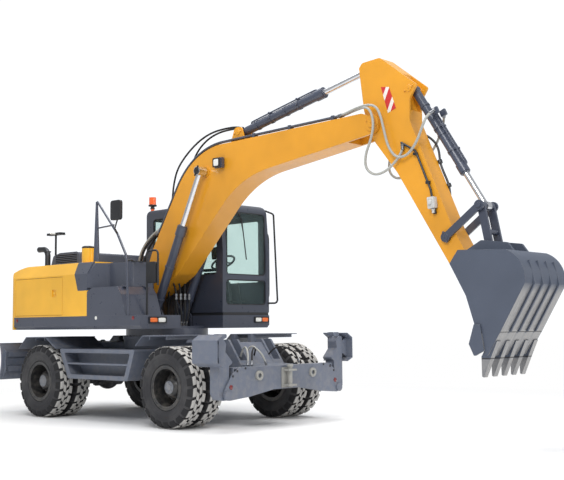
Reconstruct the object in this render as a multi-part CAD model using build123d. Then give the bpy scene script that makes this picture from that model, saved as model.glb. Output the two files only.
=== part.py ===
"""A 14 tonne wheeled excavator: a two-axle carrier with twin tyres, a rear dozer
blade and front stabilisers, and a slewing upper structure with cab and boom.

All sizes are millimetres. X points forward, Y to the left and Z up. The sizes are
given from the slew axis at X = 0 on the ground, and main() moves the whole model
along X so that its origin is under the middle of its length.
"""
from build123d import *
import os
from math import atan2, cos, degrees, hypot, radians, sin

# Fits between pieces
seat_fit = 0.3
pin_fit = 0.5
side_gap = 6
door_gap = 6

# Wheels and axles
wheelbase = 2800
axle_height = 525
tyre_radius = 525
tyre_width = 275
lug_count = 22
lug_depth = 24
lug_gap = 38
lug_skew = 14
twin_pitch = 305
overall_width = 2550
rim_seat_radius = 254
rim_width = 190
rim_sheet = 14
flange_radius = 292
flange_thickness = 12
hub_radius = 150
hub_inner_y = 776
hub_outer_y = 1185
spindle_radius = 60
spindle_end_y = 1085
beam_radius = 82
kingpin_y = 660
kingpin_radius = 25
kingpin_eye_radius = 62
kingpin_eye_height = 140
kingpin_beam_radius = 62

# Frame of the carrier
chassis_half_width = 380
chassis_top = 1080
chassis_bottom = 560
rear_overhang = 500
rear_plate = 18
axle_seat = 722
box_y = 1200
box_top = 1000
box_bottom = 580
fender_sheet = 12
fender_half_width = 1250
fender_clear_front = 110
fender_clear_rear = 88

# Stabilisers
front_overhang = 950
beam_depth = 205
beam_plate = 18
beam_half_width = 960
beam_top = 785
leg_pivot_y = 1080
leg_pivot_z = 450
leg_outer_y = 1200
pad_outer_y = 1320
pad_length = 440
pad_sheet = 14

# Blade, carried by a parallelogram of lower arms and upper links
blade_reach = 620
blade_half_width = 1250
blade_bottom = 515
blade_top = 1074
link_y = 330
link_setback = 80
link_pivot_z = 428
link_length = 430
link_angle = 39.3
link_spacing = 250
link_pin_radius = 24
arm_width = 110
upper_link_width = 90
blade_foot_setback = 250
blade_foot_z = 1050
blade_slot_half = 110
blade_eye_along = 327
blade_eye_rise = 23

# Slew ring and platform
ring_bottom = 1130
ring_split = 1170
ring_outer = 640
ring_inner = 430
deck_bottom = 1275
deck_top = 1460
deck_front = 890
deck_rear = -2090
house_half_width = 1250
skirt_bevel = 45
gap_right = -535
gap_left = 275
gap_rear = 30
floor_top = 1310
floor_front = 520

# House, counterweight, tank and tool box
house_top = 2230
house_shoulder = 2055
shoulder_run = 110
house_front = -400
house_wall = 40
door_thickness = 28
door_rim = 20
hinge_radius = 5.7
slot_count = 8
slot_height = 22
lid_hinge_radius = 10
lid_hinge_rise = 12
door_rear = -2060
door_front = -850
door_top = 2035
counterweight_rear = -2320
tank_rear_x = -270
tank_front = 375
tank_side_inset = 250
tank_gap = 10
tank_top = 2205
box_lid_top = 1855
box_lid_seam = 1745
box_front = 590
box_gap = 85
cowl_rear = -1650
cowl_front = -900
cowl_side_inset = 350
cowl_left_inset = 700
cowl_top = 2427
cowl_wall = 20

# Cab
cab_side_gap = 10
cab_overhang = 12
cab_rear = -815
cab_front = 885
cab_floor = 1500
cab_roof = 3120
cab_wall = 55
cab_clear = 45
cab_door_rear = -100
cab_door_front = 780
cab_door_thickness = 45
cab_door_bottom = 1550
cab_door_top = 2990
console_gap = 63.5
console_width = 120
console_seat_gap = 10
glass = 6
window_corner = 60
roof_panel = 18

# Boom, arm and bucket, all on one centre plane
work_y = -120
boom_half = 170
boom_foot = (-100, 1860)
boom_tip = (4035, 3710)
boom_top_rear = (880, 3780)
boom_top_front = (3880, 3848)
fork_wall = 34
fork_slot_rear = 3640
arm_wall = 30
arm_tip = (5200, 1940)
pin_radius = 38
bracket_plate = 30

boom_cylinder_foot = (170, 1430)
boom_cylinder_pin = (1150, 3440)
arm_cylinder_foot = (1700, 3935)
arm_cylinder_pin = (3905, 4420)
bucket_cylinder_foot = (4548, 4052)
rocker_pin = (5020, 2272)
rod_end_pin = (5458, 2595)
bucket_link_pin = (5550, 2140)

bucket_half = 450
bucket_wall = 20
bucket_front = 6154
tooth_count = 5
tooth_width = 80

# Worked out from the sizes above
front_axle_x = wheelbase / 2
rear_axle_x = -wheelbase / 2
chassis_rear = rear_axle_x - rear_overhang
beam_front = front_axle_x + front_overhang
beam_rear = beam_front - beam_depth
blade_rear = chassis_rear - blade_reach
link_pivot_x = chassis_rear - link_setback
blade_cylinder_foot = (rear_axle_x - blade_foot_setback, blade_foot_z)
outer_tyre_y = overall_width / 2 - tyre_width / 2
inner_tyre_y = outer_tyre_y - twin_pitch
box_to_pedestal = box_top + seat_fit
box_middle = (box_top + box_bottom) / 2 + 4
fork_inner_half = boom_half - fork_wall
arm_half = fork_inner_half - side_gap
bracket_inner = boom_half + side_gap
origin_x = (blade_rear + bucket_front) / 2
tank_side_y = tank_side_inset - house_half_width
tank_inner_y = gap_right - tank_gap
box_inner_y = gap_right - box_gap
cowl_right = cowl_side_inset - house_half_width
cowl_left = house_half_width - cowl_left_inset
cab_right = gap_left + cab_side_gap
cab_left = house_half_width + cab_overhang

# Cylinders: radius of the barrel, of the rod and of the eyes, width of the eyes,
# length of the barrel from its foot pin, rod inside it at rest, and its way in
boom_cylinder = (62, 42, 62, 140, 1410, 640, 440)
arm_cylinder = (60, 40, 58, 132, 1500, 720, 490)
bucket_cylinder = (52, 35, 52, 84, 1240, 650, 270)
blade_cylinder = (42, 25, 45, 100, 590, 370, 20)
ring_width = 24
ring_height = 8
wiper_length = 14
boom_cylinder_offset = bracket_inner + bracket_plate + side_gap + boom_cylinder[3] / 2

parts = {}


def block(x0, x1, y0, y1, z0, z1):
    """A box from its two corners."""
    return Pos((x0 + x1) / 2, (y0 + y1) / 2, (z0 + z1) / 2) * Box(x1 - x0, y1 - y0, z1 - z0)


def outline(corners):
    """A flat face from corners (u, v) or (u, v, radius of the rounding there)."""
    face = make_face(Polyline(*[(c[0], c[1]) for c in corners], close=True))
    for corner in corners:
        if len(corner) == 3:
            vertex = face.vertices().sort_by_distance(Vector(corner[0], corner[1], 0))[0]
            face = fillet(vertex, corner[2])
    return face


def side_solid(face, y0, y1):
    """A face drawn in X and Z, as thick as y0 to y1."""
    plane = Plane((0, y1, 0), x_dir=(1, 0, 0), z_dir=(0, -1, 0))
    return extrude(plane * face, y1 - y0)


def front_solid(face, x0, x1):
    """A face drawn in Y and Z, as thick as x0 to x1."""
    plane = Plane((x0, 0, 0), x_dir=(0, 1, 0), z_dir=(1, 0, 0))
    return extrude(plane * face, x1 - x0)


def plan_solid(face, z0, z1):
    """A face drawn in X and Y, as thick as z0 to z1."""
    return extrude(Pos(0, 0, z0) * face, z1 - z0)


def round_x(x0, x1, y, z, radius):
    return Pos((x0 + x1) / 2, y, z) * Rot(0, 90, 0) * Cylinder(radius, x1 - x0)


def round_y(x, z, y0, y1, radius):
    return Pos(x, (y0 + y1) / 2, z) * Rot(90, 0, 0) * Cylinder(radius, y1 - y0)


def round_z(x, y, z0, z1, radius):
    return Pos(x, y, (z0 + z1) / 2) * Cylinder(radius, z1 - z0)


def mirrored(shape):
    """The same shape on the other side of the machine."""
    return mirror(shape, about=Plane.XZ)


def about_work_plane(shape):
    """The same shape on the other side of the boom's centre plane."""
    return Pos(0, 2 * work_y, 0) * mirror(shape, about=Plane.XZ)


def bar(start, end, y0, y1, width):
    """A flat link with round ends between two pins (x, z)."""
    length = length_of(start, end)
    angle = degrees(atan2(end[1] - start[1], end[0] - start[0]))
    face = Pos(*start) * Rot(0, 0, angle) * Pos(length / 2, 0) * SlotOverall(length + width, width)
    return side_solid(face, y0, y1)


def length_of(start, end):
    """The distance between two points (x, z)."""
    return hypot(end[0] - start[0], end[1] - start[1])


def along(start, end, distance):
    """The point (x, z) at a distance from start towards end."""
    share = distance / length_of(start, end)
    return (start[0] + (end[0] - start[0]) * share, start[1] + (end[1] - start[1]) * share)


def rod_between(start, end, y, radius):
    """A round bar between two points (x, z) at one y."""
    length = length_of(start, end)
    angle = degrees(atan2(end[0] - start[0], end[1] - start[1]))
    middle = Pos((start[0] + end[0]) / 2, y, (start[1] + end[1]) / 2)
    return middle * Rot(0, angle, 0) * Cylinder(radius, length)


def pipe(points, radius, bend):
    """A tube along points (x, y, z) with round bends, straight where there are two."""
    line = FilletPolyline(*points, radius=bend) if len(points) > 2 else Line(*points)
    section = Plane(origin=line @ 0, z_dir=line % 0) * Circle(radius)
    return sweep(section, path=line)


def tyres():
    """The twin tyres of the right side, as two rings."""
    bead = rim_width / 2 - seat_fit
    lip = rim_width / 2 + flange_thickness + 3
    half = tyre_width / 2
    inner = rim_seat_radius + seat_fit
    profile = [
        (-bead, inner), (-bead, flange_radius + 2), (-lip, flange_radius + 4), (-half, 385),
        (-half + 3, 440), (-half + 19, 500), (-half + 34, tyre_radius),
        (half - 34, tyre_radius), (half - 19, 500), (half - 3, 440), (half, 385),
        (lip, flange_radius + 4), (bead, flange_radius + 2), (bead, inner),
    ]
    ring = revolve(make_face(Polyline(*profile, close=True)), Axis.X)
    grooves = []
    length = half - 8
    middle = tyre_radius - lug_depth + 25
    for index in range(lug_count):
        for side in (-1, 1):
            turn = (index + side / 4) * 360 / lug_count
            gap = Pos(side * (length / 2 + 12), 0, middle) * Rot(0, 0, side * lug_skew)
            grooves.append(Rot(turn, 0, 0) * gap * Box(length + 14, lug_gap, 50))
    ring = Rot(0, 0, 90) * (ring - grooves)
    return [Pos(0, -y, 0) * ring for y in (inner_tyre_y, outer_tyre_y)]


def turned(corners):
    """A solid turned about X from corners (x, radius)."""
    return revolve(make_face(Polyline(*corners, close=True)), Axis.X)


def rims():
    """Both rims, the disc between them and the hub, turned as one piece."""
    half = rim_width / 2
    bore = spindle_radius + pin_fit
    barrel = rim_seat_radius - rim_sheet
    nave = hub_radius - 25
    wheel = turned([
        (hub_inner_y, bore), (spindle_end_y + 10, bore), (spindle_end_y + 10, 0), (hub_outer_y, 0),
        (hub_outer_y, hub_radius - 55), (hub_outer_y - 35, nave), (hub_outer_y - 65, hub_radius),
        (hub_inner_y + 14, hub_radius), (hub_inner_y, nave)])
    wheel += turned([(968, hub_radius - 5), (992, hub_radius - 5), (1004, barrel + 2), (980, barrel + 2)])
    wheel += turned([
        (inner_tyre_y - half, barrel), (outer_tyre_y + half, barrel),
        (outer_tyre_y + half, rim_seat_radius), (inner_tyre_y - half, rim_seat_radius)])
    for centre in (inner_tyre_y, outer_tyre_y):
        for side in (-1, 1):
            near = centre + side * half
            far = near + side * flange_thickness
            wheel += turned([(near, barrel), (far, barrel), (far, flange_radius), (near, flange_radius)])
    return Rot(0, 0, -90) * wheel


def axle(steered):
    """An axle beam with its differential, on the carrier's centre line at X = 0."""
    z = axle_height
    beam = Pos(0, 0, z) * Sphere(178)
    beam += round_y(0, z, -230, 230, 120)
    beam += block(-110, 110, -300, 300, z, axle_seat)
    input_side = -1 if steered else 1
    beam += round_x(min(0, 260 * input_side), max(0, 260 * input_side), 0, z, 70)
    if steered:
        beam += round_y(0, z, -kingpin_y + 95, kingpin_y - 95, beam_radius)
        beam += round_y(0, z, -kingpin_y, kingpin_y, kingpin_beam_radius)
        low = z - kingpin_eye_height / 2
        high = z + kingpin_eye_height / 2
        for y in (-kingpin_y, kingpin_y):
            beam += round_z(0, y, low, high, kingpin_eye_radius)
            beam -= round_z(0, y, low - 5, high + 5, kingpin_radius + seat_fit)
    else:
        beam += round_y(0, z, -hub_inner_y + 16, hub_inner_y - 16, beam_radius)
        beam += round_y(0, z, -spindle_end_y, spindle_end_y, spindle_radius)
        for side in (-1, 1):
            near = side * (hub_inner_y - 86)
            far = side * (hub_inner_y - 16)
            beam += round_y(0, z, min(near, far), max(near, far), 115)
    return beam


def knuckle():
    """The right steering knuckle: a fork on the kingpin that carries the spindle."""
    low = axle_height - kingpin_eye_height / 2
    high = axle_height + kingpin_eye_height / 2
    arm = 34
    web_y = kingpin_y + kingpin_eye_radius + 14
    flange_y = hub_inner_y - 26
    fork = round_z(0, -kingpin_y, low - arm, high + arm, kingpin_eye_radius + 10)
    fork += block(-72, 72, -flange_y - 15, -kingpin_y, low - arm, high + arm)
    fork -= block(-90, 90, -web_y, -kingpin_y + 160, low - 4, high + 4)
    fork += round_z(0, -kingpin_y, low - 10, high + 10, kingpin_radius)
    fork += round_y(0, axle_height, -spindle_end_y, -flange_y, spindle_radius)
    fork += round_y(0, axle_height, -flange_y - 21, -flange_y, 100)
    return fork


def chassis():
    """The carrier's box frame with the slew ring's pedestal and the blade's lugs."""
    h = chassis_half_width
    low = chassis_bottom
    r = rear_axle_x
    f = front_axle_x
    side = outline([
        (chassis_rear, low, 40), (r - 400, low), (r - 240, axle_seat), (r + 250, axle_seat), (r + 450, low, 60),
        (f - 450, low, 60), (f - 250, axle_seat), (f + 240, axle_seat), (f + 360, 640), (beam_rear + 20, 640),
        (beam_rear + 20, beam_top), (f + 530, beam_top + 15), (f + 300, chassis_top), (r - 200, chassis_top, 60),
        (chassis_rear, 960, 40)])
    frame = side_solid(side, -h, h)
    frame += block(chassis_rear - rear_plate, chassis_rear + 40, -h, h, 380, 960)
    frame += round_z(0, 0, box_to_pedestal, ring_bottom, ring_outer - 10)
    frame += round_z(0, 0, ring_bottom - 5, ring_split, ring_outer)
    frame -= round_z(0, 0, chassis_top + 10, ring_split + 5, ring_inner)
    frame -= block(chassis_rear - rear_plate - 5, r - 70, -blade_slot_half, blade_slot_half, 370, chassis_top + 5)
    foot_x, foot_z = blade_cylinder_foot
    for side in (-1, 1):
        cheek = bar((foot_x, chassis_top - 110), (foot_x, foot_z), blade_slot_half - 40, blade_slot_half, 120)
        frame += cheek if side > 0 else mirrored(cheek)
        lug = outline([(f + 50, 1000), (f + 220, 1125, 40), (f + 300, 1125, 40), (f + 535, 795), (f + 535, 760),
                       (f + 50, 760)])
        slot = outline([(f + 240, 1200), (f + 160, 950), (f + 300, 850), (f + 600, 850), (f + 600, 1200)])
        near, far = sorted((side * 220, side * 420))
        frame += side_solid(lug, near, far)
        frame -= side_solid(slot, near + 35, far - 35)
    frame += round_y(foot_x, foot_z, -blade_slot_half, blade_slot_half, link_pin_radius)
    for y in (-link_y, link_y):
        for z in (link_pivot_z, link_pivot_z + link_spacing):
            frame += pin_lugs((chassis_rear - 5, z), (link_pivot_x, z), y, 96)
    return frame


def pin_lugs(root, pin, y, width):
    """Two plates either side of a blade link's end, with the pin through them."""
    plate = 22
    inner = arm_thickness() / 2 + side_gap
    lugs = bar(root, pin, y - inner - plate, y - inner, width)
    lugs += bar(root, pin, y + inner, y + inner + plate, width)
    lugs += round_y(pin[0], pin[1], y - inner - plate, y + inner + plate, link_pin_radius)
    return lugs


def arm_thickness():
    """How thick the blade's lower arms are along Y."""
    return 80


def fender(axle_x, clear, bends, posts):
    """One right fender, bent from sheet over an axle, with its two posts on the frame.

    bends are (x from the axle, height over the flat top), and posts are x from the axle.
    """
    flat = chassis_top + clear - fender_sheet
    top_line = [(axle_x + x, flat + fender_sheet + rise) for x, rise in bends]
    under = [(x, z - fender_sheet) for x, z in reversed(top_line)]
    inner = -chassis_half_width - seat_fit
    sheet = side_solid(outline(top_line + under), -fender_half_width, inner)
    for x in [axle_x + post for post in posts]:
        sheet += block(x, x + 60, inner - 50, -chassis_half_width + 60, chassis_top, flat)
        sheet += block(x + 20, x + 32, -fender_half_width + 40, inner, flat - 45, flat)
        sheet += block(x, x + 60, inner - 50, -chassis_half_width + 60, flat, flat + fender_sheet)
    return sheet


def side_box():
    """The right box between the axles: trapezoid, with a deep step recess."""
    r = rear_axle_x + 420
    f = front_axle_x - 680
    body = outline([(r, box_top, 20), (r + 210, box_bottom, 30), (f - 150, box_bottom, 30), (f, box_top, 20)])
    recess = outline([
        (r + 110, box_top - 55, 20), (r + 275, box_bottom + 60, 20), (f - 215, box_bottom + 60, 20),
        (f - 100, box_top - 55, 20)])
    box = side_solid(body, -box_y, -chassis_half_width)
    box -= side_solid(recess, -box_y - 10, -box_y + 220)
    box += block(r + 190, f - 160, -box_y, -box_y + 120, box_middle - 12, box_middle + 12)
    return box


def crossbeam():
    """The front beam that carries the stabiliser legs, the tow hitch and its eyes."""
    right = [(-860, beam_top), (-985, 712), (-1095, 560), (-1142, 470), (-1120, 400), (-1035, 388), (-700, 415),
             (-240, 486)]
    left = [(-y, z) for y, z in reversed(right)]
    beam = front_solid(outline(right + left), beam_front - beam_plate, beam_front)
    w = beam_half_width
    rear = beam_rear + 20
    body = outline([(-w, beam_top), (-w, 430), (-240, 500), (240, 500), (w, 430), (w, beam_top)])
    beam += front_solid(body, rear, beam_front - beam_plate)
    beam -= block(rear + beam_plate, beam_front - beam_plate, -w + beam_plate, w - beam_plate, 300,
                  beam_top - beam_plate)
    for side in (-1, 1):
        near, far = sorted((side * 900, side * 1140))
        beam += block(beam_rear, rear, near, far, 395, 560)
        near, far = sorted((side * 900, side * w))
        beam += block(beam_rear, rear, near, far, 430, beam_top)
        beam += round_x(beam_rear, rear, side * leg_pivot_y, leg_pivot_z, 62)
        beam += round_x(beam_front - 1, beam_front + 22, side * leg_pivot_y, leg_pivot_z, 58)
        beam += round_x(beam_rear, beam_front, side * leg_pivot_y, leg_pivot_z, pin_radius)
    return beam


def tow_hitch():
    """The towing jaw with its pin, and the two tow eyes beside it."""
    x = beam_front
    jaw = block(x, x + 120, -75, 75, 520, 545) + block(x, x + 120, -75, 75, 715, 740)
    jaw += block(x, x + 20, -95, 95, 500, 760)
    jaw += round_z(x + 70, 0, 505, 790, 30)
    jaw += round_z(x + 70, 0, 770, 800, 42)
    pieces = [jaw]
    for y in (-520, 520):
        eye = round_x(x, x + 26, y, 675, 62) - round_x(x - 5, x + 40, y, 675, 30)
        pieces.append(eye)
    return pieces


def stabiliser_leg():
    """The right leg folded up beside the beam, with its foot plate facing outward."""
    inner = leg_pivot_y - 58
    y = -leg_pivot_y
    z = leg_pivot_z
    leg = outline([
        (-leg_outer_y, z + 700, 25), (-leg_outer_y, z + 20), (50 - leg_outer_y, z - 58, 40),
        (-inner, z - 58, 40), (-inner, z + 360), (y + 125, z + 400, 20), (y - 5, z + 535, 20),
        (y + 10, z + 630, 20), (y - 40, z + 700, 20)])
    x0 = beam_rear + 20 + side_gap
    x1 = beam_front - beam_plate - side_gap
    solid = front_solid(leg, x0, x1)
    solid -= round_x(x0 - 5, x1 + 5, y, z, pin_radius + pin_fit)
    lug = outline([(y - 48, z + 680), (y + 40, z + 710, 20), (y + 40, z + 755, 20), (y - 70, z + 755, 20),
                   (y - 105, z + 680)])
    solid += front_solid(lug, x0 + 20, x0 + 40) + front_solid(lug, x1 - 40, x1 - 20)
    middle = (beam_rear + beam_front) / 2 - 50
    o = -pad_outer_y
    t = pad_sheet
    bent = outline([
        (o + 110, z + 745), (o, z + 680), (o, z + 398), (o + 110, z + 350), (o + 110, z + 350 + t),
        (o + t, z + 407), (o + t, z + 671), (o + 110, z + 745 - t)])
    solid += front_solid(bent, middle - pad_length / 2, middle + pad_length / 2)
    rib = outline([(o + 5, z + 678), (o + 5, z + 402), (2 - leg_outer_y, z + 470), (2 - leg_outer_y, z + 630)])
    for x in (x0 + 5, x1 - 21):
        solid += front_solid(rib, x, x + 16)
    return solid


def blade_pivot():
    """Where the lower arm's pin in the blade is, (x, z), with the blade raised."""
    return arm_point(link_length, 0)


def arm_point(distance, rise):
    """A point on the raised lower arm, from its frame pin and above its middle."""
    c = cos(radians(link_angle))
    s = sin(radians(link_angle))
    return (link_pivot_x - distance * c + rise * s, link_pivot_z + distance * s + rise * c)


def blade():
    """The dozer blade: a curved board with ribs and the four link lugs."""
    rear = blade_rear
    board = make_face(
        Polyline((rear + 28, blade_top), (rear + 50, blade_top), (rear + 50, blade_top - 20))
        + ThreePointArc((rear + 50, blade_top - 20), (rear + 108, 800), (rear + 36, blade_bottom))
        + Polyline((rear + 36, blade_bottom), (rear, blade_bottom))
        + ThreePointArc((rear, blade_bottom), (rear + 82, 800), (rear + 28, blade_top)))
    shield = side_solid(board, -blade_half_width, blade_half_width)
    beam_end = blade_half_width - 100
    for low in (640, 860):
        shield += block(rear + 85, rear + 140, -beam_end, beam_end, low, low + 80)
    rib = outline([(rear + 60, 1000), (rear + 60, 560), (rear + 135, 640), (rear + 135, 940)])
    for y in (blade_half_width - 55, 695):
        for side in (-1, 1):
            shield += side_solid(rib, side * y - 7, side * y + 7)
    lug_x, lug_z = blade_pivot()
    for y in (-link_y, link_y):
        for z in (lug_z, lug_z + link_spacing):
            shield += pin_lugs((rear + 110, z), (lug_x, z), y, arm_width)
    return shield


def blade_arm():
    """The lower arms of the blade's linkage, joined by a cross tube."""
    start = (link_pivot_x, link_pivot_z)
    end = blade_pivot()
    tube = arm_point(link_length / 2, -40)
    eye = arm_point(blade_eye_along, blade_eye_rise)
    half = arm_thickness() / 2
    arm = round_y(*tube, -link_y, link_y, 45)
    inner = blade_cylinder[3] / 2 + 8
    arm += bar(tube, eye, -inner - 20, -inner, 90) + bar(tube, eye, inner, inner + 20, 90)
    for y in (-link_y, link_y):
        arm += bar(start, end, y - half, y + half, arm_width)
        for pin in (start, end):
            arm -= round_y(*pin, y - half - 5, y + half + 5, link_pin_radius + pin_fit)
    return arm


def blade_link():
    """The two upper links of the blade's linkage."""
    lower_end = blade_pivot()
    start = (link_pivot_x, link_pivot_z + link_spacing)
    end = (lower_end[0], lower_end[1] + link_spacing)
    half = arm_thickness() / 2
    links = []
    for y in (-link_y, link_y):
        link = bar(start, end, y - half, y + half, upper_link_width)
        for pin in (start, end):
            link -= round_y(*pin, y - half - 5, y + half + 5, link_pin_radius + pin_fit)
        links.append(link)
    return links


def cylinder(foot, pin, y, sizes, foot_pin):
    """A hydraulic cylinder's barrel and rod between two pins (x, z)."""
    radius, rod_radius, eye_radius, width, barrel_length, hidden, way_in = sizes
    gland = along(foot, pin, barrel_length)
    collar = along(foot, pin, barrel_length - 2.2 * radius)
    barrel = rod_between(along(foot, pin, 0.7 * eye_radius), gland, y, radius)
    barrel += rod_between(collar, gland, y, 1.2 * radius)
    for distance in (0.2 * barrel_length, 0.55 * barrel_length):
        ring = along(foot, pin, distance)
        barrel += rod_between(ring, along(foot, pin, distance + ring_width), y, radius + ring_height)
    barrel += rod_between(gland, along(foot, pin, barrel_length + wiper_length), y, radius)
    barrel += round_y(foot[0], foot[1], y - width / 2, y + width / 2, eye_radius)
    bore_end = along(foot, pin, barrel_length - hidden - way_in)
    barrel -= rod_between(bore_end, along(foot, pin, barrel_length + 50), y, rod_radius + seat_fit)
    barrel -= round_y(foot[0], foot[1], y - width, y + width, foot_pin + pin_fit)
    start = along(foot, pin, barrel_length - hidden)
    end = along(pin, foot, 0.6 * eye_radius)
    rod = rod_between(start, end, y, rod_radius)
    rod += round_y(pin[0], pin[1], y - width / 2, y + width / 2, eye_radius)
    return barrel, rod


def main():
    make_carrier()
    make_stabilisers()
    make_blade()
    make_platform()
    make_house()
    make_tank()
    make_cab()
    make_fittings()
    make_boom()
    make_arm()
    make_bucket()
    os.makedirs("parts", exist_ok=True)
    move = Pos(-origin_x, 0, 0)
    for name, shape in parts.items():
        pieces = shape if isinstance(shape, list) else [shape]
        moved = [move * piece for piece in pieces]
        export_step(moved[0] if len(moved) == 1 else Compound(children=moved), f"parts/{name}.step")


def make_carrier():
    parts["chassis_frame"] = chassis()
    front = fender(front_axle_x, fender_clear_front, [(-610, -130), (-460, 0), (40, 0)], (-390, -60))
    rear = fender(rear_axle_x, fender_clear_rear, [(-550, -168), (-360, 0), (140, 0), (390, -158)], (-190, 30))
    parts["fenders"] = [front, rear, mirrored(front), mirrored(rear)]
    parts["side_boxes"] = [side_box(), mirrored(side_box())]
    parts["front_axle"] = Pos(front_axle_x, 0, 0) * axle(True)
    parts["rear_axle"] = Pos(rear_axle_x, 0, 0) * axle(False)
    parts["knuckle_right"] = Pos(front_axle_x, 0, 0) * knuckle()
    parts["knuckle_left"] = mirrored(parts["knuckle_right"])
    right_tyres = tyres()
    right_rims = rims()
    for end, x in (("front", front_axle_x), ("rear", rear_axle_x)):
        place = Pos(x, 0, axle_height)
        parts[f"tyres_{end}_right"] = [place * ring for ring in right_tyres]
        parts[f"tyres_{end}_left"] = [place * mirrored(ring) for ring in right_tyres]
        parts[f"rims_{end}_right"] = place * right_rims
        parts[f"rims_{end}_left"] = place * mirrored(right_rims)


def make_stabilisers():
    parts["stabiliser_beam"] = crossbeam()
    parts["tow_hitch"] = tow_hitch()
    parts["stabiliser_leg_right"] = stabiliser_leg()
    parts["stabiliser_leg_left"] = mirrored(stabiliser_leg())


def make_blade():
    parts["blade_arm"] = blade_arm()
    parts["blade_link"] = blade_link()
    parts["blade"] = blade()
    eye = arm_point(blade_eye_along, blade_eye_rise)
    barrel, rod = cylinder(blade_cylinder_foot, eye, 0, blade_cylinder, link_pin_radius)
    parts["blade_cylinder_barrel"] = barrel
    parts["blade_cylinder_rod"] = rod


def deck_section():
    """The deck's cross-section in Y and Z, bevelled along both lower edges."""
    w = house_half_width
    b = skirt_bevel
    return outline([(-w, deck_top), (-w, deck_bottom + b), (-w + b, deck_bottom), (w - b, deck_bottom),
                    (w, deck_bottom + b), (w, deck_top)])


def make_platform():
    deck = front_solid(deck_section(), deck_rear, deck_front)
    deck -= block(gap_rear, deck_front + 10, gap_right, gap_left, floor_top, deck_top + 10)
    deck -= block(floor_front, deck_front + 10, gap_right, gap_left, deck_bottom - 10, deck_top)
    ring = round_z(0, 0, ring_split + pin_fit, deck_bottom, ring_outer - 40)
    deck += ring - round_z(0, 0, ring_bottom, deck_bottom, ring_inner)
    o = boom_foot
    f = boom_cylinder_foot
    cheek = outline([(o[0] - 260, floor_top - 10), (o[0] - 110, o[1] + 60, 60), (o[0] + 20, o[1] + 130, 100),
                     (o[0] + 130, o[1] - 20, 60), (f[0] + 90, f[1] + 60, 50), (f[0] + 110, floor_top - 10)])
    outer_lug = outline([(f[0] - 80, floor_top - 10), (f[0] - 80, f[1] + 75, 60), (f[0] + 80, f[1] + 75, 60),
                         (f[0] + 80, floor_top - 10)])
    inner_y = work_y - bracket_inner
    cheeks = side_solid(cheek, inner_y - bracket_plate, inner_y)
    lug_y = inner_y - bracket_plate - boom_cylinder[3] - 2 * side_gap
    cheeks += side_solid(outer_lug, lug_y - 25, lug_y)
    cheeks += round_y(f[0], f[1], lug_y - 25, inner_y, pin_radius)
    deck += cheeks
    deck += about_work_plane(cheeks)
    deck += round_y(*o, work_y - bracket_inner - 1, work_y + bracket_inner + 1, pin_radius + 10)
    parts["platform"] = deck
    lamps = []
    for outer in (145 - house_half_width, house_half_width - 330):
        lamps.append(block(deck_front, deck_front + 14, outer, outer + 307, deck_top - 110, deck_top - 22))
    parts["front_lamps"] = lamps


def crown(half, top, shoulder, low):
    """The hood's cross-section in Y and Z: upright sides, sloping shoulders, flat top."""
    run = shoulder_run
    return outline([(-half, low), (-half, shoulder), (-half + run, top, 30), (half - run, top, 30),
                    (half, shoulder), (half, low)])


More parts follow.
